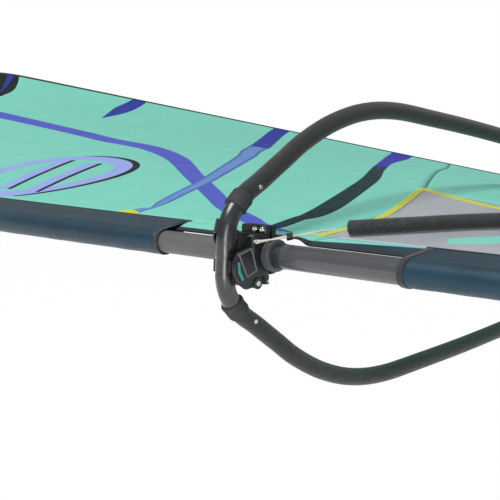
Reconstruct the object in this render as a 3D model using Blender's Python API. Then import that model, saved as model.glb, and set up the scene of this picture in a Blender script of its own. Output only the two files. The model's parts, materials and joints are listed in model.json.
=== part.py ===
"""Windsurf sail rig: mast, luff-sleeve sail, clamp-on boom, uphaul and mast foot.

Metres, +Z up.  The origin is the centre of the deck plate's underside.
+X runs along the mast towards the board, so the whole rig lies at x < 0.
+Y runs from the mast to the clew, and +Z is square to the sail.
"""
import math

import bmesh
import bpy
import numpy as np
from mathutils import Vector

# ---------------------------------------------------------------- driving sizes
GAP = 0.0003                # clearance between neighbouring pieces
CORNER_GAP = 0.0025         # how far a sail panel's corners are drawn in along its edges

BOOM_HEIGHT = 1.40          # deck plate to boom
MAST_RADIUS = 0.01875       # reduced-diameter mast, lower section
MAST_WALL = 0.0040
MAST_TIP_RADIUS = 0.0080
MAST_FOOT_X = -0.1650       # lower end of the mast
MAST_JOINT_X = -2.300       # where the two mast sections meet
MAST_TOP_X = -4.445         # upper end of the mast
MAST_BEND = 0.240           # how far downhaul bends the tip towards the leech
BEND_START_BEYOND = 0.300   # boom to where the bend starts

SAIL_THICKNESS = 0.0010
CLEW_Y = 1.845              # mast axis to clew
HEAD_CHORD = 0.170          # width of the sail's head
TACK_X = -0.260             # lower end of the luff
FOOT_DROP = 0.05            # foot edge's distance from the mast at the tack
LEECH_RISE = 0.182          # how fast the leech falls off to leeward
TWIST_FADE_X = -3.300       # where the leech starts to come back to the mast
HEAD_TWIST_SHARE = 0.18
DRAFT_DEPTH = 0.048         # deepest camber as a share of the chord
DRAFT_FALL = 1.4            # how quickly the camber dies out behind its deepest point
SEAM_X = -3.700             # seam between head panel and upper panel

SLEEVE_DEPTH = 0.052        # mast axis to the sleeve's rear seam
SLEEVE_WALL = 0.0010
SLEEVE_EASE = 0.0012        # room between mast and sleeve
CUTOUT_ABOVE = 0.207        # boom to the upper end of the sleeve's cut-out
CUTOUT_BELOW = 0.277        # boom to its lower end
HEAD_X = -4.425             # upper end of the sail

TUBE_RADIUS = 0.0126        # boom arm
TUBE_WALL = 0.0020
GRIP_WALL = 0.0022
LOOP_RADIUS = 0.0145        # boom's front loop
CUFF_WALL = 0.0032
SADDLE_WALL = 0.0042
FIT = 0.0003                # clearance of what slides or turns on a tube
CRADLE_EASE = 0.0008        # clearance of the loop in the head block's cradle
BUTTON_RADIUS = 0.0040

ADAPTER_WALL = 0.0045       # rubber sleeve between mast and clamp
CLAMP_HALF_LENGTH = 0.0280
JAW_WALL = 0.0060
TAIL_BEYOND_CLEW = 0.075    # clew to the outside of the boom's tail
TAIL_TURN_LENGTH = 0.180    # how long the tail's bend is
TAIL_INSERT = 0.300         # tail tube hidden inside each arm
TAIL_TRAVEL = 0.200         # how far the tail pulls out
TAIL_WALL = 0.0020

LINE_RADIUS = 0.0020
SHEAVE_RADIUS = 0.0095
SHEAVE_WIDTH = 0.0055
UPHAUL_RADIUS = 0.0120
LASHING_RADIUS = 0.0022

BOOM_X = -BOOM_HEIGHT
BEND_START_X = BOOM_X - BEND_START_BEYOND
CUTOUT_TOP_X = BOOM_X - CUTOUT_ABOVE
CUTOUT_LOW_X = BOOM_X + CUTOUT_BELOW
TAIL_END_Y = CLEW_Y + TAIL_BEYOND_CLEW
TAIL_TURN_Y = TAIL_END_Y - TAIL_TURN_LENGTH
CUFF_RADIUS = LOOP_RADIUS + FIT + CUFF_WALL
SADDLE_RADIUS = LOOP_RADIUS + FIT + SADDLE_WALL
TUBE_BORE = TUBE_RADIUS - TUBE_WALL
SPIGOT_RADIUS = TUBE_BORE - FIT
LOOP_SPIGOT_RADIUS = SPIGOT_RADIUS - 0.0004
GRIP_BORE = TUBE_RADIUS + FIT
GRIP_RADIUS = GRIP_BORE + GRIP_WALL
EXTENSION_RADIUS = MAST_RADIUS - MAST_WALL - 0.0005
COLLAR_RADIUS = MAST_RADIUS + 0.00375
ADAPTER_BORE = MAST_RADIUS + FIT
ADAPTER_RADIUS = ADAPTER_BORE + ADAPTER_WALL
CLAMP_BORE = ADAPTER_RADIUS + FIT

# ---------------------------------------------------------------- materials
COLOURS = {
    "carbon": ((0.045, 0.047, 0.052), 0.30, 0.0),
    "mast_grey": ((0.20, 0.205, 0.22), 0.45, 0.0),
    "foam": ((0.018, 0.018, 0.020), 0.85, 0.0),
    "nylon": ((0.050, 0.050, 0.055), 0.45, 0.0),
    "rubber": ((0.085, 0.085, 0.090), 0.75, 0.0),
    "steel": ((0.62, 0.62, 0.60), 0.25, 1.0),
    "alloy": ((0.50, 0.51, 0.52), 0.35, 1.0),
    "sailcloth": ((0.20, 0.66, 0.50), 0.55, 0.0),
    "sleeve": ((0.012, 0.075, 0.115), 0.50, 0.0),
    "film": ((0.62, 0.66, 0.68), 0.20, 0.0),
    "tape": ((0.020, 0.020, 0.024), 0.60, 0.0),
    "webbing": ((0.035, 0.035, 0.040), 0.75, 0.0),
    "line": ((0.62, 0.62, 0.58), 0.70, 0.0),
    "rope": ((0.022, 0.022, 0.024), 0.80, 0.0),
    "accent": ((0.02, 0.28, 0.27), 0.40, 0.0),
}


def material(finish):
    """Return the named finish, made once."""
    found = bpy.data.materials.get(finish)
    if found:
        return found
    colour, roughness, metallic = COLOURS[finish]
    made = bpy.data.materials.new(finish)
    made.use_nodes = True
    shader = made.node_tree.nodes["Principled BSDF"]
    shader.inputs["Base Color"].default_value = (*colour, 1.0)
    shader.inputs["Roughness"].default_value = roughness
    shader.inputs["Metallic"].default_value = metallic
    return made


# ---------------------------------------------------------------- mesh helpers
def add_object(name, mesh, finish, smooth=True):
    """Link a mesh as a named piece with its finish."""
    piece = bpy.data.objects.new(name, mesh)
    bpy.context.scene.collection.objects.link(piece)
    mesh.materials.append(material(finish))
    if smooth:
        mesh.shade_smooth()
        mesh.set_sharp_from_angle(angle=math.radians(40))
    return piece


def loft(name, rings, finish, closed=False, smooth=True):
    """Join rings of points; the ends are capped unless the last ring meets the first."""
    work = bmesh.new()
    loops = [[work.verts.new(point) for point in ring] for ring in rings]
    pairs = list(zip(loops, loops[1:]))
    if closed:
        pairs.append((loops[-1], loops[0]))
    for one, two in pairs:
        count = len(one)
        for step in range(count):
            after = (step + 1) % count
            work.faces.new((one[step], one[after], two[after], two[step]))
    if not closed:
        work.faces.new(loops[0])
        work.faces.new(list(reversed(loops[-1])))
    bmesh.ops.recalc_face_normals(work, faces=work.faces)
    mesh = bpy.data.meshes.new(name)
    work.to_mesh(mesh)
    work.free()
    return add_object(name, mesh, finish, smooth)


def across(axis):
    """Two unit vectors square to an axis and to each other."""
    helper = Vector((1, 0, 0)) if abs(axis.x) < 0.9 else Vector((0, 1, 0))
    first = (helper - axis * helper.dot(axis)).normalized()
    return first, axis.cross(first)


def ring(centre, axis, radius, sides):
    """A circle of points round a centre, square to an axis."""
    first, second = across(axis)
    turns = [2 * math.pi * (step + 0.5) / sides for step in range(sides)]
    return [centre + first * (radius * math.cos(turn)) + second * (radius * math.sin(turn))
            for turn in turns]


def tangents(path):
    """Directions along a path."""
    ends = [path[1] - path[0]] + [b - a for a, b in zip(path, path[2:])] + [path[-1] - path[-2]]
    return [end.normalized() for end in ends]


def rod(name, path, radii, finish, sides=12):
    """A solid round bar along a path, with one radius or one for each point."""
    sizes = radii if isinstance(radii, (list, tuple)) else [radii] * len(path)
    rings = [ring(point, way, size, sides)
             for point, way, size in zip(path, tangents(path), sizes)]
    return loft(name, rings, finish)


def pipe(name, path, outer, bore, finish, sides=12):
    """A hollow round tube along a path, open at both ends."""
    ways = tangents(path)
    outside = [ring(point, way, outer, sides) for point, way in zip(path, ways)]
    inside = [ring(point, way, bore, sides) for point, way in zip(path, ways)]
    return loft(name, outside + inside[::-1], finish, closed=True)


def turned(name, origin, axis, profile, finish, sides=16, hollow=False):
    """Turn (distance, radius) pairs about an axis; a hollow profile closes on itself."""
    way = Vector(axis).normalized()
    start = Vector(origin)
    rings = [ring(start + way * along, way, radius, sides) for along, radius in profile]
    return loft(name, rings, finish, closed=hollow)


def washer(name, origin, axis, length, outer, bore, finish, sides=16):
    """A plain hollow cylinder from an origin along an axis."""
    profile = [(0, outer), (length, outer), (length, bore), (0, bore)]
    return turned(name, origin, axis, profile, finish, sides, hollow=True)


def pin(name, start, axis, length, radius, finish, sides=12):
    """A plain round bar."""
    return turned(name, start, axis, [(0, radius), (length, radius)], finish, sides)


def block(name, low, high, finish, bevel=0.0):
    """A box between two corners, with its edges rounded by a Bevel."""
    (x0, y0, z0), (x1, y1, z1) = low, high
    rings = [[Vector((x, y0, z0)), Vector((x, y1, z0)), Vector((x, y1, z1)), Vector((x, y0, z1))]
             for x in (x0, x1)]
    piece = loft(name, rings, finish, smooth=False)
    if bevel:
        rounding = piece.modifiers.new("edges", "BEVEL")
        rounding.width = bevel
        rounding.segments = 1
    return piece


def slab_x(name, outline, low, high, finish, bevel=0.0):
    """A flat plate square to X, from (y, z) corners."""
    rings = [[Vector((x, y, z)) for y, z in outline] for x in (low, high)]
    piece = loft(name, rings, finish, smooth=False)
    if bevel:
        rounding = piece.modifiers.new("edges", "BEVEL")
        rounding.width = bevel
        rounding.segments = 1
        rounding.angle_limit = math.radians(40)
    return piece


def boolean(piece, tool, operation):
    """Cut or join with a tool that stays hidden."""
    tool.hide_render = True
    tool.display_type = "WIRE"
    change = piece.modifiers.new(operation.lower(), "BOOLEAN")
    change.operation = operation
    change.solver = "EXACT"
    change.object = tool
    return piece


def cut(piece, *tools):
    """Take tools away from a piece."""
    for tool in tools:
        boolean(piece, tool, "DIFFERENCE")
    return piece


def join(piece, *tools):
    """Add tools to a piece."""
    for tool in tools:
        boolean(piece, tool, "UNION")
    return piece


def smooth_path(points, per_span):
    """Points along a smooth curve through hand-chosen points."""
    knots = [Vector(point) for point in points]
    knots = [knots[0] * 2 - knots[1]] + knots + [knots[-1] * 2 - knots[-2]]
    path = []
    for before, start, end, after in zip(knots, knots[1:], knots[2:], knots[3:]):
        for step in range(per_span):
            t = step / per_span
            path.append(0.5 * (2 * start + (end - before) * t
                               + (2 * before - 5 * start + 4 * end - after) * t * t
                               + (3 * start - before - 3 * end + after) * t ** 3))
    path.append(knots[-2])
    return path


def cord(name, points, radius, finish, per_span=4):
    """A round cord: a bevelled curve through a smooth route."""
    path = smooth_path(points, per_span)
    curve = bpy.data.curves.new(name, "CURVE")
    curve.dimensions = "3D"
    curve.bevel_depth = radius
    curve.bevel_resolution = 2
    curve.use_fill_caps = True
    curve.render_resolution_u = 0
    spline = curve.splines.new("POLY")
    spline.points.add(len(path) - 1)
    for place, point in zip(spline.points, path):
        place.co = (*point, 1.0)
    piece = bpy.data.objects.new(name, curve)
    bpy.context.scene.collection.objects.link(piece)
    curve.materials.append(material(finish))
    return piece


# ---------------------------------------------------------------- rig geometry
def mast_y(x):
    """The mast's axis: straight below the bend, then curving towards the leech."""
    share = max(0.0, (BEND_START_X - x) / (BEND_START_X - MAST_TOP_X))
    return MAST_BEND * share ** 2


def mast_radius(x):
    """Constant in the lower section, tapering in the upper one."""
    share = max(0.0, (MAST_JOINT_X - x) / (MAST_JOINT_X - MAST_TOP_X))
    return MAST_RADIUS + (MAST_TIP_RADIUS - MAST_RADIUS) * share


def leech_y(x):
    """The rear edge: the straight leech above the boom and the foot edge below it."""
    if x <= BOOM_X:
        head = mast_y(HEAD_X) + HEAD_CHORD
        return CLEW_Y + (head - CLEW_Y) * (BOOM_X - x) / (BOOM_X - HEAD_X)
    return CLEW_Y + (FOOT_DROP - CLEW_Y) * (x - BOOM_X) / (TACK_X - BOOM_X)


def leech_z(x):
    """How far the leech has twisted off to leeward."""
    height = max(0.0, BOOM_X - x)
    fade = min(1.0, max(0.0, (TWIST_FADE_X - x) / (TWIST_FADE_X - HEAD_X)))
    ease = fade * fade * (3 - 2 * fade)
    return LEECH_RISE * height * (1 - (1 - HEAD_TWIST_SHARE) * ease)


def sail_z(x, y):
    """Height of the sail: from the mast's lee side, over the draft, to the leech."""
    luff = mast_y(x)
    chord = max(leech_y(x) - luff, SLEEVE_DEPTH)
    share = min(1.0, max(0.0, (y - luff) / chord))
    deepest = 1 / (1 + DRAFT_FALL)
    peak = deepest * (1 - deepest) ** DRAFT_FALL
    camber = DRAFT_DEPTH * chord * share * (1 - share) ** DRAFT_FALL / peak
    return mast_radius(x) * (1 - share) + camber + leech_z(x) * share


def stations(start, end, step=0.2):
    """X positions from start down to end, on a shared grid so that tubes nest."""
    low, high = sorted((start, end))
    first = math.ceil((low + 0.02) / step)
    last = math.floor((high - 0.02) / step)
    inner = [step * count for count in range(first, last + 1)]
    values = [low] + inner + [high]
    return values if start < end else values[::-1]


# ---------------------------------------------------------------- sail panels
def sheet(name, rows, finish):
    """A thin closed sheet over a grid of (x, y) points that lies on the sail's surface."""
    half = SAIL_THICKNESS / 2
    work = bmesh.new()
    sides = []
    for offset in (half, -half):
        sides.append([[work.verts.new((x, y, sail_z(x, y) + offset)) for x, y in row]
                      for row in rows])
    top, low = sides
    rise, run = len(rows), len(rows[0])
    for row in range(rise - 1):
        for column in range(run - 1):
            for grid in (top, low):
                work.faces.new((grid[row][column], grid[row][column + 1],
                                grid[row + 1][column + 1], grid[row + 1][column]))
    rim = [(0, column) for column in range(run - 1)]
    rim += [(row, run - 1) for row in range(rise - 1)]
    rim += [(rise - 1, column) for column in range(run - 1, 0, -1)]
    rim += [(row, 0) for row in range(rise - 1, 0, -1)]
    for (row_a, col_a), (row_b, col_b) in zip(rim, rim[1:] + rim[:1]):
        work.faces.new((top[row_a][col_a], top[row_b][col_b], low[row_b][col_b], low[row_a][col_a]))
    bmesh.ops.recalc_face_normals(work, faces=work.faces)
    mesh = bpy.data.meshes.new(name)
    work.to_mesh(mesh)
    work.free()
    return add_object(name, mesh, finish)


def resample(points, count):
    """Spread count spans over a polyline and keep every corner."""
    knots = [np.array(point, float) for point in points]
    lengths = [float(np.linalg.norm(b - a)) for a, b in zip(knots, knots[1:])]
    spare = count - len(lengths)
    shares = [1 + int(round(spare * length / sum(lengths))) for length in lengths]
    shares[lengths.index(max(lengths))] += count - sum(shares)
    found = [knots[0]]
    for start, end, spans in zip(knots, knots[1:], shares):
        found += [start + (end - start) * step / spans for step in range(1, spans + 1)]
    return found


def panel(name, front, rear, rows, columns, finish):
    """A panel ruled from points on its front edge to points on its rear edge."""
    starts = resample(front, rows)
    ends = resample(rear, rows)
    starts[0], starts[-1] = pulled_in(starts[0], starts[1]), pulled_in(starts[-1], starts[-2])
    ends[0], ends[-1] = pulled_in(ends[0], ends[1]), pulled_in(ends[-1], ends[-2])
    grid = []
    for start, end in zip(starts, ends):
        inset = GAP / float(np.linalg.norm(end - start))
        grid.append([tuple(start + (end - start) * (inset + (1 - 2 * inset) * column / columns))
                     for column in range(columns + 1)])
    return sheet(name, grid, finish)


def pulled_in(corner, neighbour):
    """Move a corner a little way towards its neighbour on the same edge."""
    way = neighbour - corner
    return corner + way * (CORNER_GAP / float(np.linalg.norm(way)))


def luff_line(start, end, count=8):
    """Points on the sleeve's rear seam."""
    values = [start + (end - start) * step / count for step in range(count + 1)]
    return [(x, mast_y(x) + SLEEVE_DEPTH) for x in values]


def leech_line(start, end, count=6):
    """Points on the leech."""
    values = [start + (end - start) * step / count for step in range(count + 1)]
    return [(x, leech_y(x)) for x in values]


WINDOW_TOP = (BOOM_X + 0.085, SLEEVE_DEPTH)      # window's corner on the sleeve
WINDOW_BEND = (BOOM_X + 0.080, 0.250)
WINDOW_PEAK = (BOOM_X - 0.020, 0.470)            # corner nearest the leech
WINDOW_REAR = (BOOM_X + 0.620, 0.235)
WINDOW_LOW = (BOOM_X + 0.620, SLEEVE_DEPTH)
WINDOW_SEAM_X = BOOM_X - 0.670                   # where the window seam meets the leech
PATCH_REACH = 0.110                              # clew patch, from its root to the clew
PATCH_HALF = 0.045


def patch_corners():
    """The clew patch: root, leech side, clew and foot side."""
    leech_x = BOOM_X - PATCH_HALF
    foot_x = BOOM_X + PATCH_HALF
    return [(BOOM_X, CLEW_Y - PATCH_REACH), (leech_x, leech_y(leech_x)),
            (BOOM_X, CLEW_Y), (foot_x, leech_y(foot_x))]


def sail_panels():
    """Head, upper, clew and foot panels and the window, sewn edge to edge."""
    window_seam = (WINDOW_SEAM_X, leech_y(WINDOW_SEAM_X))
    root, on_leech, _, on_foot = patch_corners()
    panel("head_panel", luff_line(HEAD_X, SEAM_X), leech_line(HEAD_X, SEAM_X), 8, 4, "sailcloth")

    crest = resample([(SEAM_X, mast_y(SEAM_X) + SLEEVE_DEPTH), (SEAM_X, leech_y(SEAM_X))], 9)
    ridge = resample([WINDOW_TOP, WINDOW_BEND, WINDOW_PEAK, window_seam], 9)
    grid = []
    rows = 12
    for row in range(rows + 1):
        share = (row / rows) ** 0.85
        line = []
        for column, (start, end) in enumerate(zip(crest, ridge)):
            inset = GAP / float(np.linalg.norm(end - start))
            x, y = start + (end - start) * (inset + (1 - 2 * inset) * share)
            if column == 0:
                y = mast_y(x) + SLEEVE_DEPTH + GAP
            line.append((float(x), float(y)))
        grid.append(line)
    sheet("upper_panel", grid, "sailcloth")

    panel("clew_panel", [WINDOW_PEAK, WINDOW_REAR], [window_seam, on_leech, root], 8, 7, "sailcloth")
    panel("foot_panel", [WINDOW_LOW, (TACK_X, SLEEVE_DEPTH)], [WINDOW_REAR, root, on_foot],
          8, 7, "sailcloth")
    panel("window_panel", [WINDOW_TOP, WINDOW_BEND, WINDOW_PEAK],
          [WINDOW_LOW, (WINDOW_LOW[0], 0.15), WINDOW_REAR], 7, 5, "film")


def clew_fittings():
    """The reinforced clew with its pressed-in ring."""
    corners = [np.array(corner) for corner in patch_corners()]
    middle = sum(corners) / 4
    outline = [corner + (middle - corner) * 0.012 for corner in corners]
    thick = SAIL_THICKNESS * 1.4
    rings = [[Vector((x, y, sail_z(x, y) + side * thick)) for x, y in outline] for side in (1, -1)]
    patch = loft("clew_patch", rings, "webbing", smooth=False)
    eye = Vector((BOOM_X, CLEW_Y - CLEW_RING_SETBACK, 0.0))
    cut(patch, pin("clew_hole", eye - Vector((0, 0, 0.02)), (0, 0, 1), 0.04, RING_RADIUS + FIT, "steel", 16))
    level = sail_z(eye.x, eye.y)
    washer("clew_ring", (eye.x, eye.y, level - 0.0030), (0, 0, 1), 0.0060,
           RING_RADIUS, RING_BORE, "steel", sides=16)


RING_RADIUS = 0.0140
RING_BORE = 0.0090


# ---------------------------------------------------------------- luff sleeve
def sleeve_lean(x, wall=0.0):
    """Where the sleeve's rear seam lies from the mast: its y, its z and the direction to it."""
    tail_y = mast_y(x) + SLEEVE_DEPTH - GAP - SLEEVE_WALL * 1.5 + wall * 0.9
    tail_z = sail_z(x, mast_y(x) + SLEEVE_DEPTH)
    return tail_y, tail_z, math.atan2(tail_z, tail_y - mast_y(x))


def sleeve_profile(x, wall):
    """A teardrop round the mast that runs out to the rear seam; wall thickens it outwards."""
    luff = mast_y(x)
    radius = mast_radius(x) + SLEEVE_EASE + wall
    tail_y, tail_z, lean = sleeve_lean(x, wall)
    spread = math.acos(radius / math.hypot(tail_y - luff, tail_z))
    round_sides = 12
    points = []
    for step in range(round_sides + 1):
        turn = lean + spread + (2 * math.pi - 2 * spread) * step / round_sides
        points.append(Vector((x, luff + radius * math.cos(turn), radius * math.sin(turn))))
    tip = 0.0004 + wall * 0.5
    points.append(Vector((x, tail_y, tail_z - tip)))
    points.append(Vector((x, tail_y, tail_z + tip)))
    return points


def sleeve(name, start, end, step, finish):
    """A stretch of luff sleeve, open at both ends."""
    places = stations(start, end, step)
    outside = [sleeve_profile(x, SLEEVE_WALL) for x in places]
    inside = [sleeve_profile(x, 0.0) for x in places]
    return loft(name, outside + inside[::-1], finish, closed=True)


def luff_sleeves():
    """Upper and lower sleeve and the strip that joins them behind the cut-out."""
    sleeve("sleeve_upper", HEAD_X, CUTOUT_TOP_X, 0.1, "sleeve")
    sleeve("sleeve_lower", CUTOUT_LOW_X, TACK_X, 0.1, "sleeve")
    front = MAST_RADIUS + 0.012
    rear = SLEEVE_DEPTH - GAP
    starts = (CUTOUT_TOP_X + GAP, CUTOUT_LOW_X - GAP)
    grid = [[(starts[0] + (starts[1] - starts[0]) * row / 6, y) for y in (front, rear)]
            for row in range(7)]
    sheet("cutout_strip", grid, "tape")


# ---------------------------------------------------------------- mast
def mast_rings(start, end, wall):
    """Circles square to X round the mast's axis."""
    found = []
    for x in stations(start, end):
        found.append(ring(Vector((x, mast_y(x), 0)), Vector((1, 0, 0)), mast_radius(x) - wall, 16))
    return found


def mast():
    """Two sections, the ferrule inside their joint, and the tip plug."""
    outside = mast_rings(MAST_FOOT_X, MAST_JOINT_X + GAP, 0.0)
    inside = mast_rings(MAST_FOOT_X, MAST_JOINT_X + GAP, MAST_WALL)
    loft("mast_bottom_section", outside + inside[::-1], "mast_grey", closed=True)
    outside = mast_rings(MAST_JOINT_X, MAST_TOP_X, 0.0)
    inside = mast_rings(MAST_JOINT_X, MAST_TOP_X, 0.0030)
    loft("mast_top_section", outside + inside[::-1], "mast_grey", closed=True)
    reach = 0.110
    ferrule = [ring(Vector((x, mast_y(x), 0)), Vector((1, 0, 0)), MAST_RADIUS - 0.0062, 16)
               for x in (MAST_JOINT_X + reach, MAST_JOINT_X, MAST_JOINT_X - reach)]
    bore = [ring(Vector((x, mast_y(x), 0)), Vector((1, 0, 0)), MAST_RADIUS - 0.0085, 16)
            for x in (MAST_JOINT_X + reach, MAST_JOINT_X, MAST_JOINT_X - reach)]
    loft("mast_ferrule", ferrule + bore[::-1], "carbon", closed=True)
    plug = MAST_TIP_RADIUS - 0.0038
    profile = [(-0.025, plug), (GAP, plug), (GAP, MAST_TIP_RADIUS), (0.010, MAST_TIP_RADIUS - 0.002)]
    rings = [ring(Vector((MAST_TOP_X - along, mast_y(MAST_TOP_X - along), 0)), Vector((1, 0, 0)), radius, 16)
             for along, radius in profile]
    loft("mast_tip_plug", rings, "nylon")


def head_strap():
    """A webbing loop over the mast's tip that holds the sail's head up."""
    top = MAST_TOP_X - 0.014
    route = []
    for side, places in ((1, (HEAD_X + 0.090, HEAD_X + 0.045, HEAD_X, top + 0.004)),
                         (-1, (top + 0.004, HEAD_X, HEAD_X + 0.045, HEAD_X + 0.090))):
        for x in places:
            route.append((x, side, 1.0))
        if side == 1:
            route += [(top - 0.003, 1, 0.5), (top - 0.003, -1, 0.5)]
    path = []
    flats = []
    for x, side, share in route:
        lean = sleeve_lean(max(x, HEAD_X))[2]
        out = Vector((0, -math.sin(lean), math.cos(lean)))
        reach = mast_radius(max(x, HEAD_X)) + SLEEVE_EASE + SLEEVE_WALL + 0.0014
        path.append(Vector((x, mast_y(x), 0)) + out * (side * reach * share))
        flats.append(Vector((0, math.cos(lean), math.sin(lean))) * 0.0065)
    rings = []
    for point, way, wide in zip(path, tangents(path), flats):
        normal = wide.normalized().cross(way).normalized() * 0.0006
        rings.append([point + normal + wide, point + normal - wide,
                      point - normal - wide, point - normal + wide])
    loft("head_strap", rings, "webbing", smooth=False)


# ---------------------------------------------------------------- boom
ARM_ROUTE = [(-0.0720, 0.000), (-0.0712, 0.034), (-0.0600, 0.064), (-0.0340, 0.0905),
             (0.0000, 0.1110), (0.0500, 0.1425), (0.1000, 0.1735), (0.1700, 0.2050),
             (0.2500, 0.2255), (0.3400, 0.2310), (0.4600, 0.2215), (0.6200, 0.2055),
             (0.8000, 0.1830), (0.9800, 0.1560), (1.1200, 0.1375), (1.2200, 0.1295),
             (1.3200, 0.1270), (1.6200, 0.1270)]
ARM_ROOT = 3                                     # route point where an arm meets the loop
GRIP_END = 12                                    # route point where the grip ends


def arm_path(first, last, side, per_span=2):
    """Part of the arm's centreline, on the upper (1) or lower (-1) side."""
    points = [(BOOM_X, y, side * z) for y, z in ARM_ROUTE]
    path = smooth_path([(BOOM_X, ARM_ROUTE[1][0], -side * ARM_ROUTE[1][1])] + points, per_span)
    return path[(first + 1) * per_span:(last + 1) * per_span + 1]


def trimmed(path, start=0.0, end=0.0):
    """Shorten a path by a length at either end."""
    path = list(path)
    if start:
        path[0] = path[0] + (path[1] - path[0]).normalized() * start
    if end:
        path[-1] = path[-1] + (path[-2] - path[-1]).normalized() * end
    return path


def front_loop():
    """The bow of the boom: a solid moulded loop with a spigot for each arm."""
    upper = arm_path(0, ARM_ROOT, 1, 4)
    spigot = arm_path(ARM_ROOT, ARM_ROOT + 1, 1)
    half = upper + [upper[-1]] + spigot[1:]
    sizes = [LOOP_RADIUS] * len(upper) + [LOOP_SPIGOT_RADIUS] * len(spigot)
    half[len(upper)] = upper[-1] + (spigot[1] - spigot[0]).normalized() * GAP
    mirror = [Vector((p.x, p.y, -p.z)) for p in half]
    path = mirror[::-1][:-1] + half
    radii = sizes[::-1][:-1] + sizes
    ways = loop_tangents(path)
    rings = [ring(point, way, size, 12) for point, way, size in zip(path, ways, radii)]
    return loft("front_loop", rings, "carbon")


def loop_tangents(path):
    """Directions along a path that has steps in it."""
    ways = []
    for place in range(len(path)):
        before = path[max(0, place - 2)]
        after = path[min(len(path) - 1, place + 2)]
        ways.append((after - before).normalized())
    return ways


def boom_arms():
    """Arm tubes, foam grips and rubber cuffs on both sides."""
    for side, word in ((1, "upper"), (-1, "lower")):
        whole = arm_path(ARM_ROOT, len(ARM_ROUTE) - 1, side)
        tube = pipe(f"{word}_arm", trimmed(whole, 4 * GAP), TUBE_RADIUS, TUBE_BORE, "carbon", 12)
        covered = arm_path(ARM_ROOT, GRIP_END, side)
        grip = pipe(f"{word}_grip", trimmed(covered, CUFF_REACH), GRIP_RADIUS, GRIP_BORE, "foam", 12)
        cuff_path = [arm_path(ARM_ROOT - 1, ARM_ROOT, side, 8)[-3], *arm_path(ARM_ROOT, ARM_ROOT + 1, side, 8)[:3]]
        pipe(f"{word}_cuff", trimmed(cuff_path, 0.0, 0.0), CUFF_RADIUS, LOOP_RADIUS + FIT, "rubber", 12)
        snap_button(word, side, tube, grip)


CUFF_REACH = 0.0125


def snap_button(word, side, tube, grip):
    """A sprung button that locks an arm on the loop's spigot."""
    spot = arm_path(ARM_ROOT, ARM_ROOT + 1, side, 8)[5]
    low = spot + Vector((SPIGOT_RADIUS - 0.0065, 0, 0))
    pin(f"snap_button_{word}", low, (1, 0, 0), GRIP_RADIUS + 0.0008 - SPIGOT_RADIUS + 0.0065,
        BUTTON_RADIUS, "steel", 10)
    deep = spot + Vector((SPIGOT_RADIUS - 0.0115, 0, 0))
    for place, target in enumerate((bpy.data.objects["front_loop"], tube, grip)):
        tool = pin(f"button_hole_{word}_{place}", deep, (1, 0, 0), 0.030, BUTTON_RADIUS + FIT, "steel", 10)
        cut(target, tool)


def boom_tail():
    """The telescoping tail: one bent tube that slides in both arms."""
    pipe("tail_tube", tail_path(), SPIGOT_RADIUS, SPIGOT_RADIUS - TAIL_WALL, "carbon", 12)


TAIL_FITTING = 0.046                             # length of the tail's moulded end block
TAIL_AXLE_Y = TAIL_END_Y - TUBE_RADIUS - TAIL_FITTING + 0.013
AXLE_RADIUS = 0.0025
AXLE_BORE = AXLE_RADIUS + FIT


def carved_sheave_room(body, name, low, high, axle_start, axle_length):
    """Cut a slot for a sheave and leave the axle standing in it."""
    cut(body, block(f"{name}_room", low, high, "steel"))
    join(body, pin(f"{name}_axle", axle_start, (0, 0, 1), axle_length, AXLE_RADIUS, "steel", 12))


def tail_fitting():
    """Moulded block on the tail tube with the outhaul sheave."""
    rear = TAIL_END_Y - TUBE_RADIUS
    low_y = rear - TAIL_FITTING
    wide = 0.0160
    body = block("tail_block", (BOOM_X - 0.017, low_y, -wide), (BOOM_X + 0.017, rear + 0.014, wide),
                 "nylon", 0.003)
    bend = rod("tail_bend", tail_path()[3:-3], SPIGOT_RADIUS + FIT, "steel", 12)
    cut(body, bend)
    room = SHEAVE_WIDTH / 2 + 0.0006
    carved_sheave_room(body, "tail_sheave", (BOOM_X - 0.0125, low_y - 0.01, -room),
                       (BOOM_X + 0.0125, TAIL_AXLE_Y + SHEAVE_RADIUS + 0.0025, room),
                       (BOOM_X, TAIL_AXLE_Y, -room - 0.004), 2 * room + 0.008)
    sheave("tail_sheave", (BOOM_X, TAIL_AXLE_Y, 0), (0, 0, 1))


def tail_path():
    """Centreline of the tail tube: straight, round the end and straight again."""
    straight = ARM_ROUTE[-1][1]
    start_y = ARM_ROUTE[-1][0] - TAIL_INSERT
    turn_y = TAIL_TURN_Y
    reach = TAIL_END_Y - TUBE_RADIUS - turn_y
    points = [Vector((BOOM_X, start_y, straight)), Vector((BOOM_X, turn_y, straight))]
    for step in range(1, 14):
        turn = math.pi * step / 14
        wide = math.copysign(abs(math.cos(turn)) ** 0.75, math.cos(turn)) if step != 7 else 0.0
        points.append(Vector((BOOM_X, turn_y + reach * math.sin(turn), straight * wide)))
    points += [Vector((BOOM_X, turn_y, -straight)), Vector((BOOM_X, start_y, -straight))]
    return points


def sheave(name, centre, axis):
    """A grooved roller that turns on a 5 mm axle."""
    half = SHEAVE_WIDTH / 2
    groove = SHEAVE_RADIUS - 0.0035
    start = Vector(centre) - Vector(axis) * half
    profile = [(0, SHEAVE_RADIUS), (half * 0.5, groove + 0.0008), (half, groove),
               (half * 1.5, groove + 0.0008), (2 * half, SHEAVE_RADIUS), (2 * half, AXLE_BORE), (0, AXLE_BORE)]
    return turned(name, start, axis, profile, "nylon", 12, hollow=True)


def arc(centre, radius, start, end, steps):
    """Points on an arc in a plane square to Z, between two angles in degrees."""
    x, y, z = centre
    turns = [math.radians(start + (end - start) * step / steps) for step in range(steps + 1)]
    return [(x + radius * math.cos(turn), y + radius * math.sin(turn), z) for turn in turns]


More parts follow.
